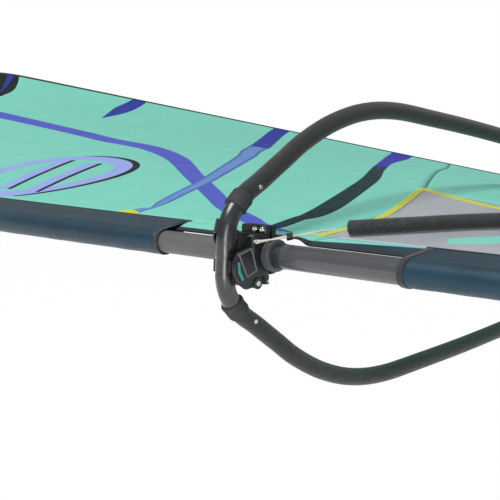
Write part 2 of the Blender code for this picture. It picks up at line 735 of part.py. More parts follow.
def line(name, route):
    """A rope of the rig that its fittings hold from end to end."""
    rod(name, [Vector(point) for point in route], LINE_RADIUS, "line", 8)


def outhaul():
    """The outhaul line from the hook round the tail sheave, and the hook over the clew ring."""
    eye_y = CLEW_Y - CLEW_RING_SETBACK
    level = sail_z(BOOM_X, eye_y) + 0.0080
    near_y = eye_y + 0.0150
    middle_y = TAIL_AXLE_Y - 0.0150
    ends = [[(x, near_y + 0.0014, level), (x, middle_y, 0.0)]
            for x in (BOOM_X - LINE_ROUND, BOOM_X + LINE_ROUND)]
    turn = arc((BOOM_X, TAIL_AXLE_Y, 0), LINE_ROUND, 180, 0, 8)
    line("outhaul_line", ends[0] + turn + ends[1][::-1])
    hook = block("outhaul_hook", (BOOM_X - 0.0115, near_y - 0.0050, level - 0.0026),
                 (BOOM_X + 0.0115, near_y, level + 0.0026), "steel", 0.0008)
    join(hook, block("hook_tongue", (BOOM_X - 0.0035, eye_y - 0.0060, level - 0.0016),
                     (BOOM_X + 0.0035, near_y - 0.0030, level + 0.0016), "steel"))


LINE_ROUND = SHEAVE_RADIUS - 0.0035 + LINE_RADIUS + 0.0007
CLEW_RING_SETBACK = 0.040


def tail_locks():
    """Sprung buttons at the arms' ends; each rides in a slot along the tail tube."""
    end_y, end_z = ARM_ROUTE[-1]
    room = BUTTON_RADIUS + FIT
    for side, word in ((1, "upper"), (-1, "lower")):
        spot = Vector((BOOM_X, end_y - 0.020, side * end_z))
        low = spot + Vector((SPIGOT_RADIUS - 0.0065, 0, 0))
        pin(f"tail_button_{word}", low, (1, 0, 0), TUBE_RADIUS + 0.0022 - SPIGOT_RADIUS + 0.0065,
            BUTTON_RADIUS, "steel", 10)
        cut(bpy.data.objects[f"{word}_arm"],
            pin(f"tail_hole_{word}", spot, (1, 0, 0), 0.030, room, "steel", 10))
        slot = block(f"tail_slot_{word}", (spot.x, spot.y - TAIL_TRAVEL - room, spot.z - room),
                     (spot.x + 0.030, spot.y + room, spot.z + room), "steel")
        cut(bpy.data.objects["tail_tube"], slot)


# ---------------------------------------------------------------- boom head
LEVER_PIN = (-0.0380, -0.0400)                   # y, z of the clamp lever's pivot
JAW_PIN = (-0.0040, -0.0400)                     # y, z of the rear jaw's hinge


def saddle():
    """Moulded cover round the upper half of the loop."""
    path = [Vector((BOOM_X, ARM_ROUTE[0][0], 0.0095))] + arm_path(0, 2, 1, 4)[2:]
    pipe("saddle", path, SADDLE_RADIUS, LOOP_RADIUS + FIT, "nylon", 12)


def head_block():
    """Front half of the mast clamp, with the open cradle that the loop turns in."""
    half = CLAMP_HALF_LENGTH
    loop_y = ARM_ROUTE[0][0]
    bore = LOOP_RADIUS + CRADLE_EASE
    barrel = washer("head_block", (BOOM_X, loop_y, -0.0250), (0, 0, 1), 0.0190,
                    SADDLE_RADIUS, bore, "nylon", 12)
    cut(barrel, block("cradle_mouth", (BOOM_X - 0.03, loop_y - 0.03, -0.03),
                      (BOOM_X + 0.03, loop_y - 0.0060, 0.0), "nylon"))
    neck = block("block_neck", (BOOM_X - 0.0085, loop_y + bore + 0.0006, -0.0249),
                 (BOOM_X + 0.0085, -0.030, 0.0083), "nylon")
    body = block("block_body", (BOOM_X - half, -0.0405, -0.0330),
                 (BOOM_X + half, -0.0008, 0.0330), "nylon", 0.004)
    lug = block("block_top_lug", (BOOM_X - half + 0.002, -0.0120, 0.0300),
                (BOOM_X + half - 0.002, -0.0008, 0.0445), "nylon", 0.002)
    boss = pin("lever_boss", (BOOM_X - 0.020, *LEVER_PIN), (1, 0, 0), 0.040, 0.0075, "nylon", 16)
    join(barrel, neck, body, lug, boss)
    low_lug = block("block_low_lug", (BOOM_X - half + 0.002, JAW_PIN[0] - 0.006, -0.0450),
                    (BOOM_X - 0.0093, JAW_PIN[0] + 0.0032, -0.0300), "nylon")
    far_lug = block("block_far_lug", (BOOM_X + 0.0093, JAW_PIN[0] - 0.006, -0.0450),
                    (BOOM_X + half - 0.002, JAW_PIN[0] + 0.0032, -0.0300), "nylon")
    join(barrel, low_lug, far_lug)
    cut(barrel, pin("mast_room", (BOOM_X - 0.05, 0, 0), (1, 0, 0), 0.10, CLAMP_BORE, "steel", 24))
    cut(barrel, pin("lever_hole", (BOOM_X - 0.05, *LEVER_PIN), (1, 0, 0), 0.10, 0.0028, "steel", 12))
    cut(barrel, pin("jaw_hole", (BOOM_X - 0.05, *JAW_PIN), (1, 0, 0), 0.10, 0.0023, "steel", 12))
    for place, x in enumerate(BOLT_XS):
        cut(barrel, pin(f"bolt_hole_{place}", (x, -0.03, BOLT_Z), (0, 1, 0), 0.06, 0.0028, "steel", 12))


BOLT_XS = (BOOM_X + 0.006, BOOM_X + 0.0205)
BOLT_Z = 0.0385


def rear_jaw():
    """Rear half of the clamp, hinged below the mast and drawn in at the top by two bolts."""
    half = CLAMP_HALF_LENGTH
    outer = CLAMP_BORE + JAW_WALL
    steps = 14
    outline = []
    for step in range(steps + 1):
        turn = -math.pi / 2 + math.pi * step / steps
        outline.append((outer * math.cos(turn) + 0.0008, outer * math.sin(turn)))
    for step in range(steps + 1):
        turn = math.pi / 2 - math.pi * step / steps
        outline.append((CLAMP_BORE * math.cos(turn) + 0.0008, CLAMP_BORE * math.sin(turn)))
    jaw = slab_x("rear_jaw", outline, BOOM_X - half, BOOM_X + half, "nylon")
    lug = block("jaw_top_lug", (BOOM_X - half + 0.002, 0.0016, 0.0265),
                (BOOM_X + half - 0.002, 0.0110, 0.0445), "nylon")
    knuckle = pin("jaw_knuckle", (BOOM_X - 0.0090, *JAW_PIN), (1, 0, 0), 0.0180, 0.0050, "nylon", 16)
    low_web = block("jaw_low_web", (BOOM_X - 0.0090, JAW_PIN[0] + 0.0012, -0.0435),
                    (BOOM_X + 0.0090, 0.0090, -0.0340), "nylon")
    web = block("jaw_web", (BOOM_X - 0.0089, 0.0010, -0.0434), (BOOM_X + 0.0089, 0.0089, -0.0280), "nylon")
    join(jaw, lug, knuckle, low_web, web)
    cut(jaw, pin("jaw_room", (BOOM_X - 0.05, 0.0008, 0), (1, 0, 0), 0.10, CLAMP_BORE, "steel", 24))
    cut(jaw, pin("jaw_pin_hole", (BOOM_X - 0.05, *JAW_PIN), (1, 0, 0), 0.10, 0.0023, "steel", 12))
    for place, x in enumerate(BOLT_XS):
        cut(jaw, block(f"bolt_slot_{place}", (x - 0.0032, -0.01, BOLT_Z - 0.0032),
                       (x + 0.0032, 0.02, BOLT_Z + 0.02), "steel"))
    pin("jaw_pin", (BOOM_X - half + 0.001, *JAW_PIN), (1, 0, 0), 2 * half - 0.002, 0.0020, "steel", 12)
    for place, x in enumerate(BOLT_XS):
        turned(f"clamp_bolt_{place + 1}", (x, -0.0165, BOLT_Z), (0, 1, 0),
               [(0, 0.0042), (0.0042, 0.0042), (0.0042, 0.0025), (0.0120, 0.0025)], "steel", 12)


def clamp_lever():
    """The lever that closes the clamp, and its pivot pin."""
    near = BOOM_X + CLAMP_HALF_LENGTH + 0.0006
    y0, z0 = LEVER_PIN
    outline = []
    for step in range(9):
        turn = -math.pi * 0.75 + math.pi * step / 8
        outline.append((y0 + 0.0080 * math.cos(turn), z0 + 0.0080 * math.sin(turn)))
    outline += [(-0.0385, -0.0220), (-0.0530, 0.0150), (-0.0790, 0.0080), (-0.0880, -0.0080),
                (-0.0850, -0.0250), (-0.0740, -0.0400), (-0.0600, -0.0480)]
    lever = slab_x("clamp_lever", outline, near, near + 0.0080, "nylon", 0.0008)
    cut(lever, pin("lever_pin_hole", (BOOM_X, *LEVER_PIN), (1, 0, 0), 0.10, 0.0028, "steel", 12))
    strip = [(-0.0835, -0.0060), (-0.0815, -0.0220), (-0.0725, -0.0350),
             (-0.0690, -0.0310), (-0.0770, -0.0195), (-0.0790, -0.0060)]
    slab_x("lever_inlay", strip, near + 0.0083, near + 0.0093, "accent")
    turned("lever_pin", (BOOM_X - 0.0200, *LEVER_PIN), (1, 0, 0),
           [(0, 0.0025), (0.0200 + near + 0.0083 - BOOM_X, 0.0025),
            (0.0200 + near + 0.0083 - BOOM_X, 0.0048), (0.0200 + near + 0.0108 - BOOM_X, 0.0044)],
           "steel", 12)


def mast_adapter():
    """Ribbed rubber sleeve, slit at the back, that packs the mast out to the clamp."""
    start = BOOM_X - CLAMP_HALF_LENGTH - 0.006
    rib = ADAPTER_RADIUS + 0.0012
    end = 2 * CLAMP_HALF_LENGTH + 0.006
    profile = [(0, ADAPTER_BORE), (0, rib), (0.0052, rib), (0.0052, ADAPTER_RADIUS),
               (end + 0.0010, ADAPTER_RADIUS), (end + 0.0010, rib), (end + 0.0062, rib),
               (end + 0.0062, ADAPTER_RADIUS - 0.0010), (end + 0.0092, ADAPTER_RADIUS - 0.0010),
               (end + 0.0092, rib), (end + 0.0145, rib), (end + 0.0145, ADAPTER_BORE)]
    sleeve_piece = turned("mast_adapter", (start, 0, 0), (1, 0, 0), profile, "rubber", 24, hollow=True)
    cut(sleeve_piece, block("adapter_slit", (start - 0.01, 0.010, -0.0030),
                            (start + 0.12, 0.040, 0.0030), "steel"))


# ---------------------------------------------------------------- uphaul
def on_sail(x, y, lift):
    """A point resting on the sail."""
    return (x, y, sail_z(x, y) + SAIL_THICKNESS / 2 + lift)


def uphaul():
    """Lashing from the head, padded rope over the sail, and the elastic to the tack block."""
    route = [(0.0285, -0.0340, 0.0220), (0.0330, -0.0330, 0.0225), (0.0420, -0.0240, 0.0250),
             (0.0550, -0.0080, 0.0290), (0.0700, 0.0100, 0.0330), (0.0880, 0.0320, 0.0380),
             (0.1080, 0.0540, 0.0440)]
    cord("uphaul_lashing", [(BOOM_X + x, y, z) for x, y, z in route], LASHING_RADIUS, "line", 4)
    start, end = (Vector((BOOM_X + x, y, z)) for x, y, z in route[3:5])
    way = (end - start).normalized()
    washer("cord_stop", start + (end - start) * 0.5 - way * 0.0045, way, 0.0090,
           0.0058, LASHING_RADIUS + 0.0009, "nylon", 12)
    rest = UPHAUL_RADIUS + 0.0006
    places = [(0.120, 0.066), (0.150, 0.084), (0.200, 0.118), (0.270, 0.172), (0.350, 0.228),
              (0.440, 0.262), (0.540, 0.264), (0.640, 0.236), (0.740, 0.192), (0.840, 0.148),
              (0.930, 0.118)]
    cord("uphaul_rope", [on_sail(BOOM_X + x, y, rest) for x, y in places], UPHAUL_RADIUS, "rope", 5)
    rest = ELASTIC_RADIUS + 0.0006
    places = [(0.9440, 0.1135), (0.9900, 0.0990), (1.0400, 0.0840), (1.0850, 0.0720)]
    route = [on_sail(BOOM_X + x, y, rest) for x, y in places]
    route += [(-0.2830, 0.0620, 0.0255), (-0.2650, 0.0555, 0.0200), (-0.2535, 0.0505, 0.0152)]
    cord("uphaul_elastic", route, ELASTIC_RADIUS, "rope", 4)
    hook = [(-0.2529, 0.0502, 0.0150), (-0.2400, 0.0470, 0.0148), (-0.2280, 0.0430, 0.0148),
            (-0.2200, 0.0380, 0.0148), (-0.2210, 0.0335, 0.0148), (-0.2260, 0.0320, 0.0150)]
    rod("uphaul_hook", smooth_path(hook, 3), 0.0016, "steel", 8)


ELASTIC_RADIUS = 0.0030


# ---------------------------------------------------------------- mast foot
PLATE_RADIUS = 0.048
LOWER_PIN_X = -0.0460
UPPER_PIN_X = -0.0660
YOKE_GAP = 0.0105
YOKE_OUTER = 0.0165
HUB_X = -0.0920                                  # upper yoke's seat under the extension
KNOB_X = -0.1095                                 # release knob, in the swivel stub's groove
BASE_SHEAVE = (-0.1280, 0.0400)
TACK_SHEAVE = (-0.2150, 0.0400)


def yoke(name, pin_x, hub_x, along_y, finish="nylon"):
    """A hub with two ears either side of the joint's cross."""
    way = 1 if hub_x > pin_x else -1
    face = pin_x + way * 0.0115
    hub = turned(name, (hub_x, 0, 0), (-way, 0, 0), [(0, 0.0180), (abs(hub_x - face), 0.0180)], finish, 16)
    for side in (1, -1):
        low, high = sorted((side * YOKE_GAP, side * YOKE_OUTER))
        end = pin_x
        x0, x1 = sorted((face + way * 0.004, end))
        if along_y:
            ear = block(f"{name}_ear_{side}", (x0, low, -0.0090), (x1, high, 0.0090), finish)
            tip = pin(f"{name}_tip_{side}", (pin_x, low, 0), (0, 1, 0), high - low, 0.0090, finish, 16)
        else:
            ear = block(f"{name}_ear_{side}", (x0, -0.0090, low), (x1, 0.0090, high), finish)
            tip = pin(f"{name}_tip_{side}", (pin_x, 0, low), (0, 0, 1), high - low, 0.0090, finish, 16)
        join(hub, ear, tip)
    axis = (0, 1, 0) if along_y else (0, 0, 1)
    start = (pin_x, -0.03, 0) if along_y else (pin_x, 0, -0.03)
    cut(hub, pin(f"{name}_hole", start, axis, 0.06, 0.0033, "steel", 12))
    return hub


def mast_foot():
    """Deck plate, double-pin universal joint and the swivel pin of the mast foot."""
    turned("deck_plate", (0, 0, 0), (-1, 0, 0),
           [(0, PLATE_RADIUS), (0.0050, PLATE_RADIUS), (0.0090, PLATE_RADIUS - 0.005),
            (0.0090, 0.0210), (0.0145, 0.0195)], "rubber", 24)
    yoke("lower_yoke", LOWER_PIN_X, -0.0148, True)
    cross = block("joint_cross", (UPPER_PIN_X - 0.0062, -0.0100, -0.0100),
                  (LOWER_PIN_X + 0.0062, 0.0100, 0.0100), "alloy", 0.0025)
    join(cross, pin("cross_low_pin", (LOWER_PIN_X, -0.0175, 0), (0, 1, 0), 0.0350, 0.0030, "steel", 12),
         pin("cross_high_pin", (UPPER_PIN_X, 0, -0.0175), (0, 0, 1), 0.0350, 0.0030, "steel", 12))
    upper = yoke("upper_yoke", UPPER_PIN_X, HUB_X, False)
    stub = turned("swivel_stub", (HUB_X + 0.004, 0, 0), (-1, 0, 0),
                  [(0, 0.0080), (0.0185, 0.0080), (0.0185, 0.0062), (0.0245, 0.0062),
                   (0.0245, 0.0080), (0.0285, 0.0066)], "nylon", 16)
    join(upper, stub)


def extension():
    """Mast extension: moulded foot with release knob and sheave, tube and height collar."""
    body = turned("extension_foot", (HUB_X - GAP, 0, 0), (-1, 0, 0),
                  [(0, 0.0200), (0.004, COLLAR_RADIUS), (0.050, COLLAR_RADIUS), (0.0555, 0.0190)],
                  "nylon", 16)
    cheek = block("sheave_cheeks", (-0.1400, 0.012, -0.0120), (-0.1160, 0.0500, 0.0120), "nylon", 0.002)
    join(body, cheek)
    cut(body, pin("swivel_bore", (HUB_X + 0.01, 0, 0), (-1, 0, 0), 0.0355, 0.0083, "steel", 16))
    cut(body, pin("tube_socket", (-0.1250, 0, 0), (-1, 0, 0), 0.06, EXTENSION_RADIUS + FIT, "steel", 16))
    room = SHEAVE_WIDTH / 2 + 0.0006
    carved_sheave_room(body, "base_sheave", (-0.1450, BASE_SHEAVE[1] - 0.0115, -room),
                       (-0.1110, 0.0600, room), (*BASE_SHEAVE, -room - 0.004), 2 * room + 0.008)
    cut(body, pin("knob_hole", (KNOB_X, 0, -0.0400), (0, 0, 1), 0.0400, 0.0026, "steel", 12))
    turned("release_knob", (KNOB_X, 0, -0.0068), (0, 0, -1),
           [(0, 0.0022), (0.0165, 0.0022), (0.0165, 0.0075), (0.0225, 0.0075)], "steel", 12)
    sheave("base_sheave", (*BASE_SHEAVE, 0), (0, 0, 1))
    tube_path = [Vector((-0.1253, 0, 0)), Vector((-0.5000, 0, 0))]
    tube = pipe("extension_tube", tube_path, EXTENSION_RADIUS, EXTENSION_RADIUS - 0.0020, "alloy", 16)
    collar = washer("height_collar", (-0.1520, 0, 0), (-1, 0, 0), 0.0125, COLLAR_RADIUS,
                    EXTENSION_RADIUS + FIT, "nylon", 16)
    for place, target in enumerate((tube, collar)):
        cut(target, pin(f"collar_pin_hole_{place}", (-0.1582, 0, -0.04), (0, 0, 1), 0.08,
                        0.0026, "steel", 12))
    turned("collar_pin", (-0.1582, 0, 0.0200), (0, 0, -1),
           [(0, 0.0023), (0.0450, 0.0023), (0.0450, 0.0060), (0.0490, 0.0060)], "steel", 12)


def tack():
    """Tack block with its sheave, its strap and the downhaul line."""
    x, y = TACK_SHEAVE
    body = block("tack_block", (x - 0.0160, y - 0.0060, -0.0125), (x + 0.0110, y + 0.0060, 0.0125),
                 "steel", 0.0015)
    room = SHEAVE_WIDTH / 2 + 0.0006
    carved_sheave_room(body, "tack_sheave", (x - 0.0120, y - 0.02, -room), (x + 0.0200, y + 0.02, room),
                       (x, y, -room - 0.004), 2 * room + 0.008)
    sheave("tack_sheave", (x, y, 0), (0, 0, 1))
    block("tack_strap", (TACK_X + 0.0010, y - 0.0010, -0.0120), (x - 0.0163, y + 0.0010, 0.0120), "webbing")
    low_x, low_y = BASE_SHEAVE
    route = [(-0.1403, 0.0465, 0.0080), (-0.1430, 0.0467, 0.0078), (x + 0.013, y + LINE_ROUND, 0.0006)]
    route += arc((x, y, 0), LINE_ROUND, 90, 270, 8)
    route += arc((low_x, low_y, 0), LINE_ROUND, -90, 90, 8)
    route += [(-0.1410, 0.0490, -0.0012), (x + 0.0300, 0.0448, -0.0078), (x + 0.0118, 0.0440, -0.0080)]
    line("downhaul_line", route)


def main():
    """Build every sub-assembly."""
    for old in list(bpy.data.objects):
        bpy.data.objects.remove(old, do_unlink=True)
    sail_panels()
    clew_fittings()
    luff_sleeves()
    mast()
    head_strap()
    front_loop()
    boom_arms()
    boom_tail()
    tail_fitting()
    tail_locks()
    outhaul()
    saddle()
    head_block()
    rear_jaw()
    clamp_lever()
    mast_adapter()
    uphaul()
    mast_foot()
    extension()
    tack()


main()
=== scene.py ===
"""Windsurf sail rig: cloth, carbon, foam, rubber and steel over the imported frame.

Metres.  X runs along the mast towards the board, Y from the mast to the clew, and Z is square
to the sail.  Every new piece is a grid of points worked out as whole arrays: a sheet that lies on
the sail's surface, or a profile turned round a path.
"""
import json
import logging
import math
from dataclasses import dataclass
from enum import Enum
from typing import Any, Optional, Sequence

import bmesh
import bpy
import numpy as np
from mathutils import Matrix, Vector


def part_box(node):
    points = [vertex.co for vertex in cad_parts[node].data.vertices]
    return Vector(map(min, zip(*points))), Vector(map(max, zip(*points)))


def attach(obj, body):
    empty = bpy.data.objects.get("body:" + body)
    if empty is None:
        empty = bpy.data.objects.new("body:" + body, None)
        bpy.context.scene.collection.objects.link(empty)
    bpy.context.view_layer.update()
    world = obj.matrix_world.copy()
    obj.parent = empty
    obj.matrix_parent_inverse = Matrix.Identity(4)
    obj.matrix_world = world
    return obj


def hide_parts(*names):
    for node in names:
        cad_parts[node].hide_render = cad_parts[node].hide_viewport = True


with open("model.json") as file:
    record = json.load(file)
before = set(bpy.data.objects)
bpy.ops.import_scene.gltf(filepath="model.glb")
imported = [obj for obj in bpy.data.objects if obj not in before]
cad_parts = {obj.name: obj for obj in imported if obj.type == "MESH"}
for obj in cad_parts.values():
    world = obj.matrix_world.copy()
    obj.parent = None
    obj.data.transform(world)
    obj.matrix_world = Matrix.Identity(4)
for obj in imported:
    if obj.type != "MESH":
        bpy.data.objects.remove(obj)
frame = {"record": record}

LOG = logging.getLogger("rig")
X_WAY = np.array([1.0, 0.0, 0.0])
Y_WAY = np.array([0.0, 1.0, 0.0])
Z_WAY = np.array([0.0, 0.0, 1.0])
BOOM_X = -1.40                       # where the boom crosses the mast
WAVE_UNIT = 0.314                    # a wave texture of scale 1 repeats every 0.314 m
THREAD_SHARPNESS = 9.0               # the power that narrows a wave's crest to one thread
CLOUD_SCALE = 14.0                   # mottled patches, about 70 mm across
WEAR_SCALE = 90.0                    # duller and glossier patches, about 11 mm across
GLOSS_LOW, GLOSS_HIGH = 0.82, 1.18   # the roughness varies between these shares of itself
COAT_ROUGHNESS = 0.20
STITCH_MIDDLE = 0.004                # where the zigzag's thread starts across its tape
STITCH_WIDTH = 0.0007
SHARP_CORNER = math.radians(38)      # edges that turn more than this stay sharp
ROUNDED_CORNER = math.radians(40)    # edges that turn more than this are rounded
FLAT_ANGLE = math.radians(0.6)       # faces that turn less than this are one face
SAME_PLACE = 2e-6                    # corners nearer than this are one corner
BODY_OF = {node: body for body, nodes in frame["record"]["behaviour"]["bodies"].items()
           for node in nodes}


# ---------------------------------------------------------------- finishes
def linear(colour: str) -> tuple[float, float, float, float]:
    """Turn an sRGB hex colour into linear light.

    Args:
        colour: six hex digits after a hash.

    Returns:
        Red, green, blue and an alpha of one.
    """
    parts = [int(colour[place:place + 2], 16) / 255 for place in (1, 3, 5)]
    light = [part / 12.92 if part <= 0.04045 else ((part + 0.055) / 1.055) ** 2.4 for part in parts]
    return (light[0], light[1], light[2], 1.0)


def add_node(tree: bpy.types.NodeTree, kind: str, settings: Optional[dict[str, Any]] = None,
             inputs: Optional[dict[Any, Any]] = None) -> bpy.types.Node:
    """Add a shader node with its settings, its values and its links.

    Args:
        tree: the material's node tree.
        kind: the node's type.
        settings: properties of the node.
        inputs: a value or an output socket for each named or numbered input.

    Returns:
        The new node.
    """
    node = tree.nodes.new(kind)
    for key, value in (settings or {}).items():
        setattr(node, key, value)
    for key, value in (inputs or {}).items():
        if isinstance(value, bpy.types.NodeSocket):
            tree.links.new(value, node.inputs[key])
        else:
            node.inputs[key].default_value = value
    return node


def maths(tree: bpy.types.NodeTree, operation: str, *values: Any) -> bpy.types.NodeSocket:
    """The output of a Math node over values or sockets."""
    return add_node(tree, "ShaderNodeMath", {"operation": operation}, dict(enumerate(values))).outputs[0]


def noise(tree: bpy.types.NodeTree, place: Any, scale: float, detail: float) -> bpy.types.NodeSocket:
    """The output of a noise texture over coordinates in metres."""
    return add_node(tree, "ShaderNodeTexNoise", {}, {
        "Vector": place, "Scale": scale, "Detail": detail}).outputs[0]


def mixed(tree: bpy.types.NodeTree, share: Any, first: Any, second: Any) -> bpy.types.NodeSocket:
    """The colour a share of the way from one colour to another."""
    return add_node(tree, "ShaderNodeMix", {"data_type": "RGBA"}, {0: share, 6: first, 7: second}).outputs[2]


class Pattern(Enum):
    """How a surface is made, which decides its relief."""

    SCRIM = "a square grid of threads under film"
    WEAVE = "plain weave"
    TWILL = "diagonal weave of flat tows"
    BRAID = "crossed strands round a cord"
    GRAIN = "moulded or foamed grain"
    BRUSHED = "fine lines along one way"
    ZIGZAG = "tape with a zigzag row of stitches"


@dataclass(frozen=True)
class Finish:
    """A real material and how its surface was made.

    The relief is a height field in metres; the second colour shows where the material is worn,
    mottled or crossed by thread.
    """

    name: str
    slot: str
    colour: str
    second: str
    roughness: float
    pattern: Pattern
    period: float
    relief: float
    mottle: float = 0.35
    thread: float = 0.0
    metallic: float = 0.0
    coat: float = 0.0
    sheen: float = 0.0
    specular: float = 0.5
    opacity: float = 1.0
    on_object: bool = False

    def material(self) -> bpy.types.Material:
        """Make the material once and return it."""
        found = bpy.data.materials.get(f"finish_{self.name}")
        if found:
            return found
        made = bpy.data.materials.new(f"finish_{self.name}")
        made.use_nodes = True
        tree = made.node_tree
        shader = tree.nodes["Principled BSDF"]
        for socket, value in (("Metallic", self.metallic), ("Coat Weight", self.coat),
                              ("Coat Roughness", COAT_ROUGHNESS), ("Sheen Weight", self.sheen),
                              ("Specular IOR Level", self.specular), ("Alpha", self.opacity)):
            shader.inputs[socket].default_value = value
        place = add_node(tree, "ShaderNodeTexCoord").outputs["Object" if self.on_object else "UV"]
        relief = self.height(tree, place)
        patches = add_node(tree, "ShaderNodeMapRange", {}, {
            "Value": noise(tree, place, CLOUD_SCALE, 5.0), "From Min": 0.38, "From Max": 0.68,
            "To Max": self.mottle})
        base = mixed(tree, patches.outputs[0], linear(self.colour), linear(self.second))
        crossed = mixed(tree, maths(tree, "MULTIPLY", relief, self.thread), base, linear(self.second))
        gloss = add_node(tree, "ShaderNodeMapRange", {}, {
            "Value": noise(tree, place, WEAR_SCALE, 4.0), "From Min": 0.3, "From Max": 0.7,
            "To Min": self.roughness * GLOSS_LOW, "To Max": min(1.0, self.roughness * GLOSS_HIGH)})
        bump = add_node(tree, "ShaderNodeBump", {}, {"Distance": self.relief, "Height": relief})
        for socket, output in (("Base Color", crossed), ("Roughness", gloss.outputs[0]),
                               ("Normal", bump.outputs[0])):
            tree.links.new(output, shader.inputs[socket])
        return made

    def height(self, tree: bpy.types.NodeTree, place: bpy.types.NodeSocket) -> bpy.types.NodeSocket:
        """Build the relief's nodes.

        Args:
            tree: the material's node tree.
            place: coordinates in metres.

        Returns:
            A socket that runs from 0 to 1.
        """
        if self.pattern is Pattern.GRAIN:
            return noise(tree, place, 1 / self.period, 4.0)
        if self.pattern is Pattern.BRUSHED:
            long = add_node(tree, "ShaderNodeMapping", {}, {"Vector": place, "Scale": (1.0, 22.0, 22.0)})
            return noise(tree, long.outputs[0], 0.05 / self.period, 3.0)
        if self.pattern is Pattern.ZIGZAG:
            return self.zigzag(tree, place)
        turns = {Pattern.SCRIM: (0.0, 90.0), Pattern.WEAVE: (0.0, 90.0), Pattern.TWILL: (45.0, 0.0),
                 Pattern.BRAID: (52.0, -52.0)}[self.pattern]
        waves = []
        for turn in turns:
            rotated = add_node(tree, "ShaderNodeMapping", {}, {
                "Vector": place, "Rotation": (0.0, 0.0, math.radians(turn))})
            wave = add_node(tree, "ShaderNodeTexWave", {"wave_type": "BANDS"}, {
                "Vector": rotated.outputs[0], "Scale": WAVE_UNIT / self.period})
            sharp = THREAD_SHARPNESS if self.pattern is Pattern.SCRIM else 1.0
            waves.append(maths(tree, "POWER", wave.outputs[1], sharp))
        joined = "MULTIPLY" if self.pattern in (Pattern.WEAVE, Pattern.TWILL) else "MAXIMUM"
        return maths(tree, joined, *waves)

    def zigzag(self, tree: bpy.types.NodeTree, place: bpy.types.NodeSocket) -> bpy.types.NodeSocket:
        """A thread that runs to and fro across a tape.

        The thread is where the distance across equals a triangle wave of the distance along,
        within the thread's own width.

        Args:
            tree: the material's node tree.
            place: distance along and across the tape, in metres.

        Returns:
            A socket that is 1 on the thread and 0 elsewhere.
        """
        parts = add_node(tree, "ShaderNodeSeparateXYZ", {}, {0: place})
        level = maths(tree, "ADD", maths(tree, "PINGPONG", parts.outputs[0], self.period), STITCH_MIDDLE)
        return maths(tree, "COMPARE", level, parts.outputs[1], STITCH_WIDTH)


def cloth(name: str, colour: str, second: str) -> Finish:
    """Laminated polyester sailcloth: film over yarns 6 mm apart, so it is satin and faintly squared."""
    return Finish(name, "sailcloth", colour, second, 0.52, Pattern.SCRIM, 0.006, 0.00006,
                  mottle=0.5, thread=0.10, specular=0.12)


SAIL_MINT = cloth("sail_laminate_mint", "#7fd0bf", "#74c7b3")
CLOTH_INDIGO = cloth("dyed_laminate_indigo", "#5560c4", "#4b55b6")
CLOTH_BLUE = cloth("dyed_laminate_blue", "#6c8fcf", "#5f80c2")
CLOTH_TEAL_EDGE = cloth("dyed_laminate_blue_edge", "#4a6fae", "#41639f")
CLOTH_NAVY = cloth("dyed_laminate_navy", "#2c3a9e", "#26338c")
CLOTH_DARK = cloth("dyed_laminate_dark", "#14343c", "#102a31")
CLOTH_VIOLET = cloth("dyed_laminate_violet", "#3a35a8", "#332e98")
CLOTH_PALE = cloth("dyed_laminate_periwinkle", "#9aabe8", "#8fa0de")
CLOTH_INK = cloth("dyed_laminate_ink", "#14241f", "#1b2d28")
CLOTH_SEAM = cloth("seam_tape_green", "#3c8f7c", "#2f7767")
# Clear polyester film yellows a little and shows its load threads every 12 mm.
WINDOW_FILM = Finish("polyester_film", "film", "#b9c0c7", "#a9b1b9", 0.22, Pattern.SCRIM, 0.012,
                     0.00005, mottle=0.4, thread=0.22, coat=0.2, opacity=0.86)
# Woven polyester with a satin face: yarns are 0.4 mm and drawn at 1 mm so that they show.
SLEEVE_SATIN = Finish("sleeve_satin", "sleeve", "#0e3648", "#082431", 0.42, Pattern.WEAVE, 0.0010,
                      0.00008, mottle=0.7, thread=0.15, sheen=0.06, specular=0.40)
BINDING = Finish("woven_binding", "webbing", "#181e22", "#0c0f12", 0.80, Pattern.WEAVE, 0.0016,
                 0.00020, thread=0.4, sheen=0.3, on_object=True)
TAPE_BLACK = Finish("edge_tape", "tape", "#1d2b30", "#12191c", 0.60, Pattern.WEAVE, 0.0020,
                    0.00010, thread=0.3)
TAPE_YELLOW = Finish("seam_tape_yellow", "tape", "#d8dc4a", "#8f9334", 0.50, Pattern.ZIGZAG, 0.0050,
                     0.00030, mottle=0.15, thread=0.75)
# Filament-wound mast with a matt lacquer: fine tows at 45 degrees.
MAST_LAMINATE = Finish("mast_laminate", "mast_grey", "#5c5e60", "#4b4d4f", 0.46, Pattern.TWILL,
                       0.0040, 0.00004, mottle=0.6, thread=0.25, specular=0.5)
MAST_WRAP = Finish("mast_wrap_film", "mast_grey", "#46484b", "#38393c", 0.26, Pattern.TWILL,
                   0.0040, 0.00003, mottle=0.5, thread=0.3, coat=0.6)
MAST_WRAP_OBJECT = Finish("ferrule_laminate", "mast_grey", "#4a4c4e", "#3a3b3d", 0.40, Pattern.TWILL,
                          0.0040, 0.00003, on_object=True)
# Carbon and epoxy under clear lacquer: 3 mm twill that only shows in the highlights.
CARBON = Finish("lacquered_carbon", "carbon", "#262729", "#1a1b1c", 0.30, Pattern.TWILL, 0.0030,
                0.00003, mottle=0.3, thread=0.5, coat=0.85)
CARBON_OBJECT = Finish("tail_carbon", "carbon", "#2f3032", "#222324", 0.32, Pattern.TWILL, 0.0030,
                       0.00003, mottle=0.3, thread=0.4, coat=0.8, on_object=True)
# EVA foam skinned over the tube: a fine closed-cell grain, dull with a soft edge light.
GRIP_FOAM = Finish("eva_foam", "foam", "#1f2022", "#161718", 0.74, Pattern.GRAIN, 0.0012, 0.00022,
                   mottle=0.6, thread=0.3, sheen=0.25, specular=0.4)
